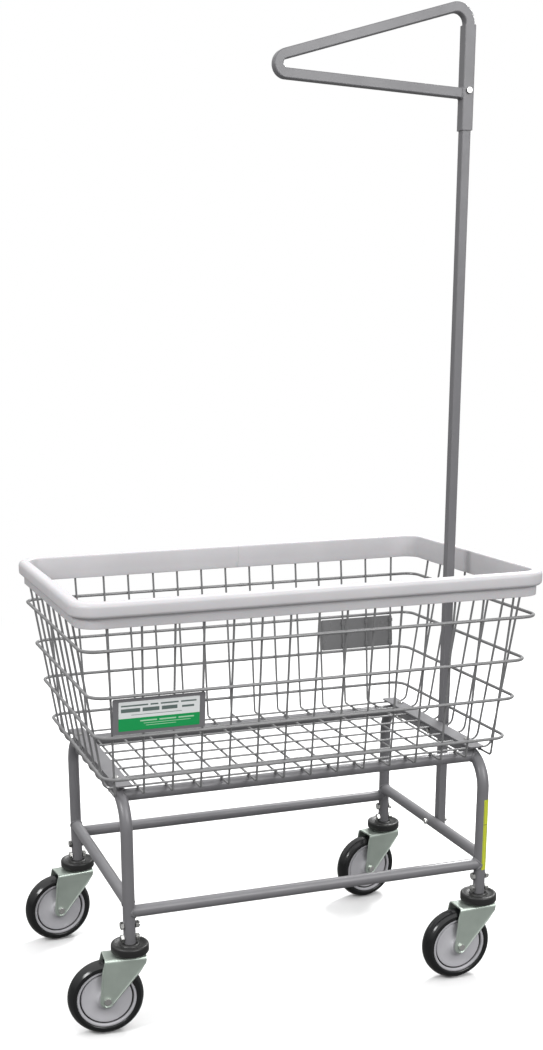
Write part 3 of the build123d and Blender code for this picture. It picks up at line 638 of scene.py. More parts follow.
shared = {"Knee Height": WALL_TURN_Z, "Top Height": WIRE_TOP_Z, "Knee Bend": 40 * MM, "Wire Radius": WIRE_R,
    "Middle X": MIDDLE_X}
cross_values = {"Count": CROSS_COUNT, "Pitch": CROSS_PITCH, "Row Shift": CROSS_SHIFT,
    "Floor Reach": FLOOR_Y, "Rim Reach": RIM_Y, "Floor Height": CROSS_Z, "Foot Bend": 6 * MM,
    "Outer Lean": OUTER_LEAN, "Next Lean": NEXT_LEAN, "First Inset": 2.4 * MM, "Turn": 0.0, **shared}
long_values = {"Count": LONG_COUNT, "Pitch": LONG_PITCH, "Row Shift": 0.0,
    "Floor Reach": FLOOR_X + SLOPE_X * (LONG_Z - CROSS_Z), "Rim Reach": RIM_X, "Floor Height": LONG_Z,
    "Foot Bend": 15 * MM, "Outer Lean": OUTER_LEAN / 2, "Next Lean": NEXT_LEAN / 2, "First Inset": 0.0,
    "Turn": pi / 2, **shared}
nothing = bpy.data.meshes.new("nothing")
run_tree("basket_cross_wires", nothing, wire_row, cross_values, coated_wire, "frame", ["cross_wires"])
run_tree("basket_long_wires", nothing, wire_row, long_values, coated_wire, "frame", ["long_wires"])

# %% [markdown]
# ## Hoops
#
# Four thicker hoops tie the walls together from outside. Each is a rod bent round the basket and
# closed with a butt weld at the back, where it is a little thicker. The tree rounds a rectangle's
# corners and swells the rod near that weld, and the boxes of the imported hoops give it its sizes.

# %% Tree: a welded hoop
hoop_inputs = "Half Length|Half Width|Height|Corner|Rod Radius|Swell|Middle X"
hoop, h, node, calc, give = new_group("GeometryNodeTree", "welded_hoop",
    [("Geometry", GEO), *[(label, FLOAT) for label in hoop_inputs.split("|")], ("Finish", MATERIAL)],
    [("Geometry", GEO)])
outline = node("GeometryNodeCurvePrimitiveQuadrilateral",
    {"Width": calc("MULTIPLY", h["Half Length"], 2.0), "Height": calc("MULTIPLY", h["Half Width"], 2.0)})
corners = node("GeometryNodeFilletCurve", {"Curve": outline.outputs[0], "Count": 8, "Radius": h["Corner"]},
    mode="POLY")
even = node("GeometryNodeResampleCurve", {"Curve": corners.outputs[0], "Length": 6 * MM}, mode="LENGTH")
weld_at = vector(hoop, 0.03, h["Half Width"])
away = node("ShaderNodeVectorMath", {0: here(hoop), 1: weld_at}, operation="DISTANCE")
near = calc("DIVIDE", away.outputs["Value"], 5 * MM)
bump = calc("DIVIDE", h["Swell"], calc("ADD", 1.0, calc("POWER", near, 4.0)))
ring = round_wire(hoop, even.outputs[0], h["Rod Radius"], 10, calc("ADD", 1.0, bump))
raised = node("GeometryNodeTransform", {"Geometry": ring,
    "Translation": vector(hoop, h["Middle X"], z=h["Height"])})
end_tree(hoop, raised.outputs[0], h["Finish"], give)

# %% Pieces: four hoops
hoop_lines = []
for number, (low, high) in enumerate(hoop_boxes, start=1):
    half_length, half_width, level = (high.x - low.x) / 2 - HOOP_R, high.y - HOOP_R, (low.z + high.z) / 2
    hoop_lines.append((half_length, half_width, level))
    values = {"Half Length": half_length, "Half Width": half_width, "Height": level, "Corner": 28 * MM,
        "Rod Radius": HOOP_R, "Swell": 0.18, "Middle X": MIDDLE_X}
    run_tree(f"basket_hoop_{number}", nothing, hoop, values, coated_wire, "frame", [f"hoop_{number}"])

# %% [markdown]
# ## Spot welds
#
# Wherever two wires cross, a spot weld has melted them together and left a small blob in the
# crook. There are over three hundred, so a tree puts one squashed ball of forty faces on each
# point, with its size varied a little by chance. The points come from the same rule as the wires.

# %% Tree: blobs on points
blobs, given, node, calc, give = new_group("GeometryNodeTree", "spot_welds",
    [("Geometry", GEO), ("Blob Radius", FLOAT), ("Variation", FLOAT), ("Seed", WHOLE),
    ("Finish", MATERIAL)], [("Geometry", GEO)])
ball = node("GeometryNodeMeshUVSphere", {"Segments": 8, "Rings": 5, "Radius": given["Blob Radius"]})
less = calc("SUBTRACT", 1.0, given["Variation"])
more = calc("ADD", 1.0, given["Variation"])
sizes = node("FunctionNodeRandomValue", {0: vector(blobs, less, less, less),
    1: vector(blobs, more, more, more), "Seed": given["Seed"]}, data_type="FLOAT_VECTOR")
placed = node("GeometryNodeInstanceOnPoints", {"Points": given["Geometry"],
    "Instance": ball.outputs["Mesh"], "Scale": sizes.outputs[0]})
end_tree(blobs, placed.outputs[0], given["Finish"], give)


# %% Points where wires cross
def leaned(index, count, outer, second_lean):
    """How far the wire with this number leans sideways at the rim."""
    side = -1 if index < (count - 1) / 2 else 1
    from_the_end = min(index, count - 1 - index)
    return side * (outer if from_the_end == 0 else second_lean if from_the_end == 1 else 0.0)


def height_share(z):
    return (z - CROSS_Z) / (WALL_TURN_Z - CROSS_Z)


cross_xs = [CROSS_SHIFT + (i - (CROSS_COUNT - 1) / 2) * CROSS_PITCH for i in range(CROSS_COUNT)]
long_ys = [(i - (LONG_COUNT - 1) / 2) * LONG_PITCH for i in range(LONG_COUNT)]
crossings = [Vector((MIDDLE_X + x, y, (CROSS_Z + LONG_Z) / 2)) for x in cross_xs for y in long_ys]
for half_length, half_width, level in hoop_lines:
    wall_x, wall_y = half_length - HOOP_R, half_width - HOOP_R
    for i, x in enumerate(cross_xs):
        x_here = x + leaned(i, CROSS_COUNT, OUTER_LEAN, NEXT_LEAN) * height_share(level)
        crossings += [Vector((MIDDLE_X + x_here, side * wall_y, level)) for side in (-1, 1)]
    for i, y in enumerate(long_ys):
        y_here = y + leaned(i, LONG_COUNT, OUTER_LEAN / 2, NEXT_LEAN / 2) * height_share(level)
        crossings += [Vector((MIDDLE_X + side * wall_x, y_here, level)) for side in (-1, 1)]
for x in cross_xs:
    crossings += [Vector((MIDDLE_X + x, side * TOP_RAIL_Y, CROSS_Z - WIRE_R)) for side in (-1, 1)]

weld_points = bpy.data.meshes.new("weld_points")
weld_points.from_pydata(crossings, [], [])
blob_values = {"Blob Radius": 2.0 * MM, "Variation": 0.2, "Seed": 3}
run_tree("basket_spot_welds", weld_points, blobs, blob_values, coated_wire, "frame")

# %% [markdown]
# ## Weld beads
#
# The rails are welded to the legs all round. A welder's bead follows the saddle where the two
# round tubes meet, and it has a fine ripple. The saddle line is worked out from the two radii, and
# a tree turns every such line into a bead whose thickness ripples along it.

# %% Tree: rippled bead
bead, given, node, calc, give = new_group("GeometryNodeTree", "weld_bead",
    [("Geometry", GEO), ("Bead Radius", FLOAT), ("Ripple", FLOAT), ("Ripple Length", FLOAT),
    ("Finish", MATERIAL)], [("Geometry", GEO)])
lines = node("GeometryNodeMeshToCurve", {"Mesh": given["Geometry"]})
fine_line = node("GeometryNodeResampleCurve", {"Curve": lines.outputs[0], "Length": 0.8 * MM},
    mode="LENGTH")
along = node("GeometryNodeSplineParameter").outputs["Length"]
wave = calc("SINE", calc("MULTIPLY", calc("DIVIDE", along, given["Ripple Length"]), 2 * pi))
lumps = node("ShaderNodeTexNoise", {"Vector": here(bead), "Scale": 160.0, "Detail": 1.0})
uneven = calc("ADD", calc("MULTIPLY", wave, given["Ripple"]), calc("MULTIPLY", lumps.outputs["Fac"], 0.5))
beads = round_wire(bead, fine_line.outputs[0], given["Bead Radius"], 6, calc("ADD", uneven, 0.75))
end_tree(bead, beads, given["Finish"], give)


# %% Saddle lines
RAIL_RING = [(RAIL_R * cos(2 * pi * k / 36), RAIL_R * sin(2 * pi * k / 36)) for k in range(36)]


def depth_at(off):
    """How far a tube's skin stands out of its middle plane, at a distance from its axis."""
    return sqrt(max(TUBE_R**2 - off**2, 0.0))


def saddle_on_x_rail(y, z, side, bend_centre=None):
    """Where a rail along X meets an end frame's leg or its bend."""
    ring_points = []
    for across, above in RAIL_RING:
        off = across
        if bend_centre:
            off = (Vector((y + across, z + above)) - Vector(bend_centre)).length - BEND_R
        ring_points.append(Vector((MIDDLE_X + side * (LEG_X - depth_at(off)), y + across, z + above)))
    return ring_points


def saddle_on_y_rail(side, end):
    """Where a rail along Y meets a leg."""
    leg_x = MIDDLE_X + side * LEG_X
    return [Vector((leg_x + a, end * (LEG_Y - depth_at(a)), SHORT_RAIL_Z + b)) for a, b in RAIL_RING]


loops = []
for side in (-1, 1):
    for end in (-1, 1):
        loops.append(saddle_on_x_rail(end * LEG_Y, LONG_RAIL_Z, side))
        loops.append(saddle_on_x_rail(end * TOP_RAIL_Y, TOP_RAIL_Z, side,
            (end * (LEG_Y - BEND_R), CROSSBAR_Z - BEND_R)))
        loops.append(saddle_on_y_rail(side, end))

# the hanger's lower bar is welded to the sleeve's face
sleeve_lo, sleeve_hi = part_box("pole_sleeve")
POLE_Y = (sleeve_lo.y + sleeve_hi.y) / 2
LOWER_BAR_Z, BAR_HALF = 1631.0 * MM, 8.5 * MM
square = []
for cx, cz, start in ((1, -1, -90), (1, 1, 0), (-1, 1, 90), (-1, -1, 180)):
    for y, z in arc((cx * (BAR_HALF - 2 * MM), cz * (BAR_HALF - 2 * MM)), 2 * MM, start, start + 90, 3):
        square.append(Vector((sleeve_lo.x, POLE_Y + y, LOWER_BAR_Z + z)))
loops.append(square)

points, edges = [], []
for loop in loops:
    first = len(points)
    points += loop
    edges += [(first + k, first + (k + 1) % len(loop)) for k in range(len(loop))]
bead_lines = bpy.data.meshes.new("bead_lines")
bead_lines.from_pydata(points, edges, [])
bead_values = {"Bead Radius": 2.0 * MM, "Ripple": 0.06, "Ripple Length": 3.2 * MM}
run_tree("frame_weld_beads", bead_lines, bead, bead_values, powder_coat, "frame")

# %% [markdown]
# ## Bolts and nuts
#
# Every screw on the trolley is a plain hexagon bolt with a nut. A real head is chamfered, so its
# corners fall away in shallow arcs. One head and one nut are drawn at unit size from that rule,
# and a tree sets them on points that know their direction, their width across flats and their
# height. Each is turned by chance, because nobody lines up bolt heads.

# %% One head and one nut
def hexagon_shape(name, stub_radius=0.0):
    """A unit hexagon, 1 wide across flats and 1 tall, with chamfered corners."""
    rings = []
    steps = 24
    for k in range(steps):
        turn = 2 * pi * k / steps
        reach = 0.5 / cos((turn % (pi / 3)) - pi / 6)
        fall = (reach - 0.5) * 1.3
        column = [(reach, 0.0), (reach, 0.96 - fall), (0.465, 1.0), (0.36, 1.0)]
        if stub_radius:
            column += [(stub_radius + 0.02, 0.97), (stub_radius, 1.0), (stub_radius, 1.27),
                (stub_radius - 0.05, 1.33)]
        column.append((0.0, column[-1][1]))
        rings.append([(r * cos(turn), r * sin(turn), z) for r, z in column])
    corners_at = [p for column in rings for p in column]
    mesh = mesh_of(corners_at, grid_faces(steps, len(rings[0]), close=False))
    shape = bpy.data.objects.new(name, mesh)
    bpy.context.scene.collection.objects.link(shape)
    return shape


unit_head = hexagon_shape("unit_head")
unit_nut = hexagon_shape("unit_nut", stub_radius=0.3)

# %% Tree: fasteners on points
screws, given, node, calc, give = new_group("GeometryNodeTree", "fasteners",
    [("Geometry", GEO), ("Shape", OBJECT), ("Seed", WHOLE), ("Finish", MATERIAL)], [("Geometry", GEO)])


def attribute(tree, name, kind):
    return add(tree, "GeometryNodeInputNamedAttribute", {"Name": name}, data_type=kind).outputs[0]


pattern = node("GeometryNodeObjectInfo", {"Object": given["Shape"]})
axis_now = attribute(screws, "axis", "FLOAT_VECTOR")
facing_out = node("FunctionNodeAlignRotationToVector", {"Vector": axis_now}, axis="Z")
twist = node("FunctionNodeRandomValue", {2: 0.0, 3: pi / 3, "Seed": given["Seed"]},
    data_type="FLOAT").outputs[1]
spun = node("FunctionNodeRotateRotation", {"Rotation": facing_out.outputs[0],
    "Rotate By": node("FunctionNodeAxisAngleToRotation", {"Axis": (0, 0, 1), "Angle": twist}).outputs[0]},
    rotation_space="LOCAL")
set_on = node("GeometryNodeInstanceOnPoints", {"Points": given["Geometry"],
    "Instance": pattern.outputs["Geometry"], "Rotation": spun.outputs[0],
    "Scale": attribute(screws, "size", "FLOAT_VECTOR")})
end_tree(screws, set_on.outputs[0], given["Finish"], give)


def fastener_points(entries):
    """A mesh of points with each fastener's direction and size."""
    mesh = bpy.data.meshes.new("fastener_points")
    mesh.from_pydata([tuple(at) for at, *_ in entries], [], [])
    axis_data = mesh.attributes.new("axis", "FLOAT_VECTOR", "POINT")
    size_data = mesh.attributes.new("size", "FLOAT_VECTOR", "POINT")
    for k, (_, axis, flats, tall) in enumerate(entries):
        axis_data.data[k].vector = Vector(axis)
        size_data.data[k].vector = Vector((flats, flats, tall))
    return mesh


def screw_on(name, entries, shape, seed, body, replaced=()):
    """Sets bolt heads or nuts on their points, as one piece."""
    values = {"Shape": shape, "Seed": seed}
    run_tree(name, fastener_points(entries), screws, values, zinc_hardware, body, replaced, 25.0)


# %% Pieces: the frame's fasteners
M6 = {"flats": 10 * MM, "head": 4 * MM, "nut": 5 * MM}
M8 = {"flats": 13 * MM, "head": 5.5 * MM, "nut": 6.5 * MM}
STEM_BOLT_ZS = (178.0 * MM, 203.0 * MM)
SLEEVE_BOLT_Z = 1635.0 * MM
STRAP_BOLT_Y = 145.0 * MM
strap_lo, strap_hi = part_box("left_floor_strap")
pole_lo, pole_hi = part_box("pole")
heads, nuts = [], []
for side in (-1, 1):
    x = MIDDLE_X + side * LEG_X
    for y in (-STRAP_BOLT_Y, STRAP_BOLT_Y):
        heads.append((Vector((x, y, strap_hi.z)), (0, 0, 1), M6["flats"], M6["head"]))
        nuts.append((Vector((x, y, CROSSBAR_Z - TUBE_R)), (0, 0, -1), M6["flats"], M6["nut"]))
    for y in (-LEG_Y, LEG_Y):
        for z in STEM_BOLT_ZS:
            heads.append((Vector((x - TUBE_R, y, z)), (-1, 0, 0), M8["flats"], M8["head"]))
            nuts.append((Vector((x + TUBE_R, y, z)), (1, 0, 0), M8["flats"], M8["nut"]))
pole_x = (sleeve_lo.x + sleeve_hi.x) / 2
heads.append((Vector((pole_x, sleeve_lo.y, SLEEVE_BOLT_Z)), (0, -1, 0), M6["flats"], M6["head"]))
nuts.append((Vector((pole_x, sleeve_hi.y, SLEEVE_BOLT_Z)), (0, 1, 0), M6["flats"], M6["nut"]))
for z, reach in ((SHORT_RAIL_Z, RAIL_R), (CROSSBAR_Z, TUBE_R)):
    heads.append((Vector((MIDDLE_X + LEG_X - reach, POLE_Y, z)), (-1, 0, 0), M6["flats"], M6["head"]))
    nuts.append((Vector((pole_hi.x, POLE_Y, z)), (1, 0, 0), M6["flats"], M6["nut"]))

bolts = ["strap_bolts", "sleeve_bolt", "pole_bolts", "stem_bolts"]
screw_on("frame_bolt_heads", heads, unit_head, 2, "frame", bolts)
screw_on("frame_nuts", nuts, unit_nut, 7, "frame", ["stem_nuts"])

# %% [markdown]
# ## Rim bumper
#
# A vinyl channel is pushed over the rim rod and the wire ends. It has a flat inner side, a rounded
# bulge outside and a skirt below the bulge. It is one long extrusion bent round the rim, so its
# section is swept along a rounded rectangle in code. Slow waves of a few tenths of a millimetre
# give it the softness of vinyl, and its two ends butt together at the back.

# %% Piece: rim bumper
RIM_CORNER_R = 35.0 * MM
BUMPER_TOP_Z, RIM_FOOT_Z = bumper_hi.z, bumper_lo.z
BULGE = (bumper_hi.x - bumper_lo.x) / 2 - RIM_X
INNER = -(WIRE_R + 3.0 * MM)
SKIRT = WIRE_R + 3.5 * MM
BULGE_Z = 772.5 * MM
BEND_STEPS = 12          # round each corner of the rim


def bumper_section():
    """Points of the section: (distance outwards from the wire line, height)."""
    section = []
    section += arc((INNER + 1.2 * MM, RIM_FOOT_Z + 1.2 * MM), 1.2 * MM, 180, 270, 3)
    section += arc((SKIRT - 1.2 * MM, RIM_FOOT_Z + 1.2 * MM), 1.2 * MM, 270, 360, 3)
    section += [(SKIRT, BULGE_Z - 5 * MM), (SKIRT, BULGE_Z - 2 * MM),
        (SKIRT + 0.7 * MM, BULGE_Z - 0.5 * MM)]
    section += arc((BULGE - 6.5 * MM, BULGE_Z + 6.5 * MM), 6.5 * MM, 285, 360, 6)
    section += [(BULGE, BULGE_Z + 12 * MM)]
    section += arc((BULGE - 9 * MM, BUMPER_TOP_Z - 9 * MM), 9 * MM, 0, 90, 7)
    section += [(SKIRT - 2 * MM, BUMPER_TOP_Z - 0.4 * MM)]
    section += arc((INNER + 3.5 * MM, BUMPER_TOP_Z - 3.5 * MM), 3.5 * MM, 90, 180, 4)
    section += [(INNER, BULGE_Z), (INNER + 0.4 * MM, BULGE_Z - 8 * MM)]
    return section


def rim_stations():
    """Places round the rim: a point on the wire line and its outward direction."""
    stations = []
    straight = (RIM_X - RIM_CORNER_R, RIM_Y - RIM_CORNER_R)
    for sx, sy, start in ((1, 1, 0), (-1, 1, 90), (-1, -1, 180), (1, -1, 270)):
        centre = Vector((MIDDLE_X + sx * straight[0], sy * straight[1]))
        for k in range(BEND_STEPS + 1):
            turn = radians(start + 90 * k / BEND_STEPS)
            stations.append((centre, Vector((cos(turn), sin(turn)))))
    return stations


def swept_bumper():
    section = bumper_section()
    bends = rim_stations()
    path = []
    for k, (centre, out) in enumerate(bends):
        path.append((centre + out * RIM_CORNER_R, out))
        following, next_out = bends[(k + 1) % len(bends)]
        if (k + 1) % (BEND_STEPS + 1) == 0:
            start, finish = centre + out * RIM_CORNER_R, following + next_out * RIM_CORNER_R
            pieces = ceil((finish - start).length / (12 * MM))
            path += [(start.lerp(finish, j / pieces), out) for j in range(1, pieces)]
    # the butt joint: a narrow notch in the middle of the back side
    seam = min(range(len(path)), key=lambda k: (path[k][0] - Vector((MIDDLE_X + 0.02, RIM_Y))).length)
    corner_points, run_length = [], 0.0
    rows = []
    for k, (at, out) in enumerate(path):
        run_length += (at - path[k - 1][0]).length if k else 0.0
        rows.append((at, out, run_length, 0.0))
        if k == seam:
            onward = (path[k + 1][0] - at).normalized()
            for step, deep in ((0.5, 0.0), (0.9, 0.8), (1.3, 0.8), (1.7, 0.0)):
                rows.append((at + onward * step * MM, out, run_length, deep * MM))
    for at, out, length_here, shrink in rows:
        wave_out = 0.25 * MM * sin(length_here * 21.0) + 0.15 * MM * sin(length_here * 57.0 + 1.0)
        wave_up = 0.3 * MM * sin(length_here * 13.0 + 2.0) + 0.15 * MM * sin(length_here * 41.0)
        for n, z in section:
            centre_n, centre_z = (INNER + BULGE) / 2, (RIM_FOOT_Z + BUMPER_TOP_Z) / 2
            pull = Vector((centre_n - n, centre_z - z))
            pull = pull.normalized() * shrink if shrink else Vector((0, 0))
            low_share = 1.0 - (z - RIM_FOOT_Z) / (BUMPER_TOP_Z - RIM_FOOT_Z)
            reach = n + pull.x + wave_out * low_share - 0.3 * MM * (n > SKIRT)
            flat = at + out * reach
            corner_points.append((flat.x, flat.y, z + pull.y + wave_up * low_share * 0.6))
    return mesh_of(corner_points, grid_faces(len(rows), len(section)))


bumper = put("rim_bumper_vinyl", swept_bumper(), vinyl, 50.0)
mount(bumper, "frame", ["rim_bumper"])
print("bumper faces:", len(bumper.data.polygons))

# %% [markdown]
# ## Rubber discs under the legs
#
# A round rubber disc sits between each leg and its caster and saves the walls. Its edge is
# rounded, its top is dished, a collar stands round the leg, and its rim hangs over the swivel race.
# It is turned about the leg, so its section goes through the lathe helper.

# %% Piece: bumper discs
disc_lo, disc_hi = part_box("caster_bumpers")
swivels = {j["name"].replace("_swivel", ""): j for j in frame["joints"] if j["name"].endswith("_swivel")}
rolls = {j["name"].replace("_roll", ""): j for j in frame["joints"] if j["name"].endswith("_roll")}
DISC_R = 34.5 * MM
DISC_TALL = disc_hi.z - disc_lo.z


def disc_section():
    lip = 3.5 * MM
    section = [(lip, 10 * MM), (lip, 26.5 * MM), (0.6 * MM, 27 * MM), (0.0, 28 * MM)]
    section += [(z, r) for r, z in arc((DISC_R - 3.5 * MM, 3.5 * MM), 3.5 * MM, -80, 0, 5)]
    section += [(z, r) for r, z in arc((DISC_R - 4 * MM, DISC_TALL - 4 * MM), 4 * MM, 0, 90, 5)]
    section += [(DISC_TALL - 0.4 * MM, DISC_R - 6 * MM), (DISC_TALL - 2.6 * MM, DISC_R - 8 * MM)]
    section += [(DISC_TALL - 3.2 * MM, 18.5 * MM), (DISC_TALL - 0.6 * MM, 17 * MM), (DISC_TALL, 15 * MM),
        (DISC_TALL, 10 * MM)]
    return section


joined = bmesh.new()
for corner, joint in swivels.items():
    at = Vector(joint["pos_m"])
    at.z = disc_lo.z
    one = lathe(disc_section(), 56, at, Vector((0, 0, 1)))
    joined.from_mesh(one)
    bpy.data.meshes.remove(one)
disc_mesh = bpy.data.meshes.new("discs")
joined.to_mesh(disc_mesh)
joined.free()
discs = put("caster_bumper_discs", disc_mesh, black_rubber, 50.0)
mount(discs, "frame", ["caster_bumpers"])
print("disc height:", round(DISC_TALL, 4))

# %% [markdown]
# ## Forks
#
# A fork is one sheet of plated steel: a flat crown, two rounded bends and two cheeks that narrow
# to a round end at the axle. The edge of each cheek is flanged outwards, which stiffens it and
# catches the light. The sheet's middle surface is a grid, wrapped over the crown row by row.
# Solidify gives it its thickness and Bevel takes off the sharp corners.

# %% Fork: outline of a cheek
FORK_T = 3.0 * MM
CHEEK_V = 21.5 * MM
CROWN_TOP = 149.0 * MM
TRAIL = (Vector(rolls["front_left"]["pos_m"]) - Vector(swivels["front_left"]["pos_m"])).xy.length
WHEEL_R = rolls["front_left"]["pos_m"][2]
END_R = 12.5 * MM
FLANGE_OUT, FLANGE_WIDE = 1.9 * MM, 3.2 * MM
END_SHARE = 0.93         # the rows stop short of the round end's lowest point, so none collapses


def on_line(corner_points, z):
    """Where a line of (u, z) corners is at height z."""
    for (u0, z0), (u1, z1) in zip(corner_points, corner_points[1:]):
        if z0 >= z >= z1:
            return u0 + (u1 - u0) * (z0 - z) / (z0 - z1)
    return corner_points[-1][0]


def cheek_rows():
    """Rows from the crown down: (front point, back point) of each row as (u, z)."""
    tangent = 216.0      # where the front edge leaves the round end
    leave = (TRAIL + END_R * cos(radians(tangent)), WHEEL_R + END_R * sin(radians(tangent)))
    front = [(-27 * MM, CROWN_TOP), (-25 * MM, 136 * MM), (-13 * MM, 120 * MM), leave]
    back = [(49 * MM, CROWN_TOP), (54 * MM, 127 * MM), (TRAIL + END_R, WHEEL_R)]
    rows = []
    levels = [142.5, 139, 136, 132, 128, 124, 120, 115, 109, 103, 97, 91, 85, 79, 74, 70]
    for level in levels:
        z = level * MM
        rows.append(((on_line(front, z), z), (on_line(back, z), z)))
    for k in range(8):
        share = END_SHARE * (k / 7) ** 0.9
        a, b = radians(tangent + (270 - tangent) * share), radians(-90 * share)
        rows.append(((TRAIL + END_R * cos(a), WHEEL_R + END_R * sin(a)),
            (TRAIL + END_R * cos(b), WHEEL_R + END_R * sin(b))))
    return front, back, rows


def fork_surface():
    """The middle surface as rows of (u, v, z), from one cheek's end over the crown to the other's."""
    front, back, rows = cheek_rows()
    fronts = [r[0] for r in rows]
    backs = [r[1] for r in rows]
    shares = [0.0, 0.02, 0.05, 0.09, 0.15, 0.3, 0.5, 0.7, 0.85, 0.91, 0.95, 0.98, 1.0]
    cheek = []
    for (fu, fz), (bu, bz) in rows:
        line = []
        for s in shares:
            u, z = fu + (bu - fu) * s, fz + (bz - fz) * s
            inner = min(min(sqrt((u - a) ** 2 + (z - b) ** 2) for a, b in dense(fronts)),
                min(sqrt((u - a) ** 2 + (z - b) ** 2) for a, b in dense(backs)) * 2.0)
            flare = max(0.0, 1.0 - inner / FLANGE_WIDE)
            low_enough = min(1.0, max(0.0, (138 * MM - z) / (14 * MM)))
            line.append((u, FLANGE_OUT * flare**1.5 * low_enough, z))
        cheek.append(line)
    surface = [[(u, -(CHEEK_V + out), z) for u, out, z in line] for line in reversed(cheek)]
    bend = 5.0 * MM
    crown_z = CROWN_TOP - FORK_T / 2
    over = []
    for k in range(7):
        turn = radians(180 - 90 * k / 6)
        over.append((-(CHEEK_V - bend) + bend * cos(turn), crown_z - bend + bend * sin(turn)))
    over += [(v * MM, crown_z) for v in (-11, -6, 0, 6, 11)]
    over += [(-v, z) for v, z in reversed(over[:7])]
    for v, z in over:
        fu, bu = on_line(front, z), on_line(back, z)
        surface.append([(fu + (bu - fu) * s, v, z) for s in shares])
    surface += [[(u, CHEEK_V + out, z) for u, out, z in line] for line in cheek]
    return surface


def dense(line):
    """A line of points with three more on each run."""
    filled = []
    for (a, b), (c, d) in zip(line, line[1:]):
        filled += [(a + (c - a) * k / 4, b + (d - b) * k / 4) for k in range(4)]
    return filled + [line[-1]]


# %% Pieces: forks
def caster_frame(corner):
    """The caster's swivel point and its trailing and sideways directions."""
    swivel = Vector(swivels[corner]["pos_m"])
    across = Vector(rolls[corner]["axis"]).normalized()
    return Vector((swivel.x, swivel.y, 0)), Vector((across.y, -across.x, 0)), across


for corner in swivels:
    centre, trailing, across = caster_frame(corner)
    surface = fork_surface()
    width = len(surface[0])
    corner_points = []
    for line in surface:
        corner_points += [centre + trailing * u + across * v + Vector((0, 0, z)) for u, v, z in line]
    faces = []
    for here, there in zip(range(0, len(corner_points), width), range(width, len(corner_points), width)):
        faces += [(here + c, here + c + 1, there + c + 1, there + c) for c in range(width - 1)]
    mesh = mesh_of(corner_points, faces)
    # the open sheet's normals are made to face away from the wheel
    if (mesh.polygons[0].center - centre).dot(across) * mesh.polygons[0].normal.dot(across) < 0:
        mesh.flip_normals()
    fork = put(f"{corner}_fork_pressing", mesh, zinc_fork, 40.0)
    wall = fork.modifiers.new("thickness", "SOLIDIFY")
    wall.thickness, wall.offset = FORK_T, 0.0
    soft_edge = fork.modifiers.new("edges", "BEVEL")
    soft_edge.width, soft_edge.segments, soft_edge.limit_method = 0.6 * MM, 2, "ANGLE"
    soft_edge.angle_limit = radians(50)
    mount(fork, f"{corner}_caster", [f"{corner}_fork"])
print("forks:", len(swivels), "trail:", round(TRAIL, 4))

# %% [markdown]
# ## Swivel races, wheels and tyres
#
# These are all turned shapes. The race has a rolled lip that hides its balls. The wheel centre has
# a pale ring at its edge, a groove inside it darkened with painted shade, and a dished web. The tyre
# has a crowned tread with a fine parting line from its mould, and rounded shoulders.

# %% Sections of the turned pieces
RACE_R, RACE_TOP = 23.0 * MM, 154.5 * MM


def race_section():
    tall = RACE_TOP - CROWN_TOP
    section = [(0.0, 6.2 * MM), (0.0, RACE_R)]
    section += [(z, r) for r, z in arc((RACE_R - 1.6 * MM, tall - 2.2 * MM), 1.6 * MM, 0, 90, 5)]
    section += [(tall - 1.2 * MM, RACE_R - 4 * MM), (tall, RACE_R - 6 * MM), (tall, 6.2 * MM)]
    return section


def hub_half():
    """From the bore outwards: (distance from the wheel's middle plane, radius), in millimetres."""
    half = [(18.0, 10.0), (18.0, 15.6), (17.2, 17.0), (14.5, 18.6), (12.8, 21.0), (11.6, 26.0),
        (11.0, 33.0)]
    half += [(11.2, 40.0), (11.6, 44.5), (11.3, 46.2), (10.4, 46.9), (8.3, 47.3), (7.4, 47.8), (7.4, 48.8)]
    half += [(8.3, 49.3), (13.0, 49.7), (14.3, 50.4), (14.5, 51.8), (14.5, 53.6), (14.0, 54.5)]
    return half


def mirrored(half):
    """Both sides of a wheel's section, in metres."""
    return [(a * MM, r * MM) for a, r in half] + [(-a * MM, r * MM) for a, r in reversed(half)]


def tyre_section():
    inner, shoulder, half_w, radius = 54.55, WHEEL_R / MM - 8.0, 17.0, WHEEL_R / MM
    half = [(15.0, inner), (16.3, inner + 0.7), (17.0, inner + 2.4), (17.0, shoulder - 1.5),
        (16.7, shoulder + 0.6)]
    # the tread's crown is an arc through both shoulders and the wheel's full radius
    rise = radius - shoulder
    crown_r = (half_w**2 + rise**2) / (2 * rise)
    for a in (15.4, 13.5, 11.0, 8.0, 5.0, 2.2, 0.7):
        half.append((a, radius - crown_r + sqrt(crown_r**2 - a**2) - 0.02))
    half.append((0.35, radius - 0.3))
    return mirrored(half)


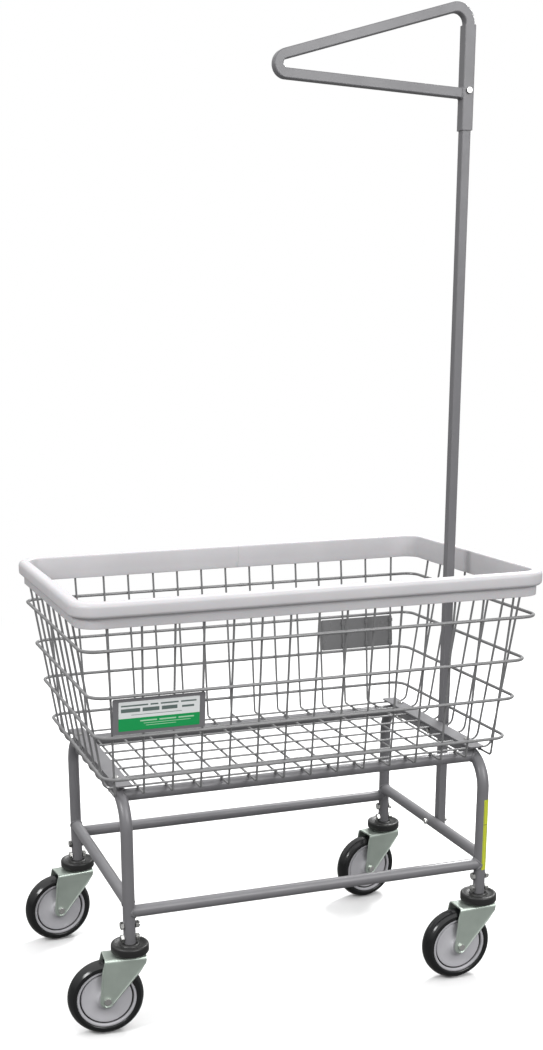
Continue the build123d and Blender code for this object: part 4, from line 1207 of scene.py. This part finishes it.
# %% Pieces: races, wheel centres, tyres, axle bolts
AXLE = {"flats": 12 * MM, "head": 4.5 * MM, "nut": 6.5 * MM}
GROOVE_IN, GROOVE_OUT = 47.2 * MM, 49.4 * MM
CHEEK_OUTER = CHEEK_V + FORK_T / 2
for corner in swivels:
    centre, trailing, across = caster_frame(corner)
    axle = Vector(rolls[corner]["pos_m"])
    race = put(f"{corner}_race_ring", lathe(race_section(), 48, centre + Vector((0, 0, CROWN_TOP)),
        Vector((0, 0, 1))), zinc_fork)
    mount(race, f"{corner}_caster", [f"{corner}_swivel_race"])
    hub_mesh = lathe(mirrored(hub_half()), 72, axle, across)
    # the groove's points are marked for the painted shade in the wheel centre's colour
    groove_shade_marks = hub_mesh.attributes.new("groove", "FLOAT", "POINT")
    for k, vertex in enumerate(hub_mesh.vertices):
        arm = vertex.co - axle
        radius = (arm - across * arm.dot(across)).length
        groove_shade_marks.data[k].value = float(GROOVE_IN < radius < GROOVE_OUT)
    hub = put(f"{corner}_wheel_centre", hub_mesh, wheel_grey, 42.0)
    mount(hub, f"{corner}_wheel", [f"{corner}_wheel_hub"])
    tyre = put(f"{corner}_tyre_ring", lathe(tyre_section(), 96, axle, across), black_tyre, 40.0)
    mount(tyre, f"{corner}_wheel", [f"{corner}_tyre"])
    ends = [(axle + across * CHEEK_OUTER, across, AXLE["flats"], AXLE["head"])]
    screw_on(f"{corner}_axle_head", ends, unit_head, 5, f"{corner}_caster", [f"{corner}_axle_bolt"])
    ends = [(axle - across * CHEEK_OUTER, -across, AXLE["flats"], AXLE["nut"])]
    screw_on(f"{corner}_axle_nut", ends, unit_nut, 6, f"{corner}_caster")
for pattern_shape in (unit_head, unit_nut):
    bpy.data.objects.remove(pattern_shape)

# %% [markdown]
# ## Camera
#
# The camera stands in front of the trolley, a little to the left and above it, and looks slightly
# down. Its lens is long enough to keep the tall pole upright. The frame is 543 wide and 1050 high,
# and a small shift places the trolley in it.

# %% Camera
azimuth, elevation, roll = radians(16.898), radians(15.273), radians(-0.932)
ahead = Vector((sin(azimuth) * cos(elevation), cos(azimuth) * cos(elevation), -sin(elevation)))
level_right = Vector((cos(azimuth), -sin(azimuth), 0))
level_up = level_right.cross(ahead)
right = level_right * cos(roll) + level_up * sin(roll)
up = level_up * cos(roll) - level_right * sin(roll)
camera_data = bpy.data.cameras.new("camera")
camera_data.lens, camera_data.sensor_width = 45.98, 36.0
camera_data.shift_x, camera_data.shift_y = 0.0802, 0.1751
camera_data.clip_end = 100
camera = bpy.data.objects.new("camera", camera_data)
camera.matrix_world = Matrix.Translation((-0.87567, -2.36566, 1.20654)) @ Matrix((right, up,
    -ahead)).transposed().to_4x4()
bpy.context.scene.collection.objects.link(camera)
bpy.context.scene.camera = camera
print("camera at", tuple(round(c, 3) for c in camera.location))

# %% [markdown]
# ## Floor and light
#
# The trolley stands on a plain pale floor that fades into a white room. A large softbox in front
# lights the faces that look this way, and a smaller one behind on the right throws soft shadows
# forwards and to the left. A small one on the left draws the streaks on the tyres. The room is
# brighter overhead than at its walls, so that rods look light on top and dark underneath.

# %% Floor
floor_mesh = mesh_of([(-30, -30, 0), (30, -30, 0), (30, 30, 0), (-30, 30, 0)], [(0, 1, 2, 3)])
floor_finish, tree, shader, place = new_finish("floor", Roughness=0.9, Specular_IOR_Level=0.0)
tile = use(tree, grain, {"Place": place, "Grain Size": 4.0, "Relief": 0.02, "Cloud Size": 900.0})
pale_floor = between(tree, tile.outputs["Clouds"], grey(0.83), grey(0.85))
# the eye sees a pale floor, while the trolley only gets a little light back from it
seen = tree.nodes.new("ShaderNodeLightPath").outputs["Is Camera Ray"]
tree.links.new(between(tree, seen, grey(0.16), pale_floor), shader.inputs["Base Color"])
# far away it fades into the white room
away = add(tree, "ShaderNodeVectorMath", {0: place}, operation="LENGTH").outputs["Value"]
fade = add(tree, "ShaderNodeMapRange", {"Value": away, "From Min": 1.6, "From Max": 3.6},
    interpolation_type="SMOOTHSTEP")
room_white = add(tree, "ShaderNodeEmission", {"Strength": 1.0})
blend_out = add(tree, "ShaderNodeMixShader", {0: maths(tree, "MULTIPLY", fade.outputs["Result"], seen)})
tree.links.new(shader.outputs[0], blend_out.inputs[1])
tree.links.new(room_white.outputs[0], blend_out.inputs[2])
tree.links.new(blend_out.outputs[0], tree.nodes["Material Output"].inputs["Surface"])
floor = put("floor", floor_mesh, floor_finish)
if floor_mesh.polygons[0].normal.z < 0:
    floor_mesh.flip_normals()


# %% Lights and room
def softbox(name, at, look_at, size, power):
    light = bpy.data.lights.new(name, "AREA")
    light.shape, light.size, light.energy = "SQUARE", size, power
    lamp = bpy.data.objects.new(name, light)
    lamp.location = at
    lamp.rotation_euler = (Vector(look_at) - Vector(at)).to_track_quat("-Z", "Y").to_euler()
    bpy.context.scene.collection.objects.link(lamp)


softbox("softbox_front", (1.2, -3.0, 2.4), (0, 0, 0.7), 1.8, 62)
softbox("softbox_back_right", (1.9, 1.5, 2.6), (0, 0, 0.1), 0.7, 90)
softbox("softbox_left", (-2.4, -1.0, 2.2), (-0.2, 0, 0.4), 0.8, 34)

world = bpy.data.worlds.new("room")
world.use_nodes = True
sky = world.node_tree
direction = add(sky, "ShaderNodeSeparateXYZ", {0: sky.nodes.new("ShaderNodeTexCoord").outputs["Generated"]})
brightness = maths(sky, "ADD", 0.26, maths(sky, "MULTIPLY",
    maths(sky, "MAXIMUM", direction.outputs["Z"], 0.0), 1.25))
seen = sky.nodes.new("ShaderNodeLightPath").outputs["Is Camera Ray"]
strength = add(sky, "ShaderNodeMix", {0: seen, 2: brightness, 3: 1.0}, data_type="FLOAT")
sky.links.new(strength.outputs[0], sky.nodes["Background"].inputs["Strength"])
sky.nodes["Background"].inputs["Color"].default_value = (1, 1, 1, 1)
bpy.context.scene.world = world
bpy.context.scene.view_settings.view_transform = "Standard"
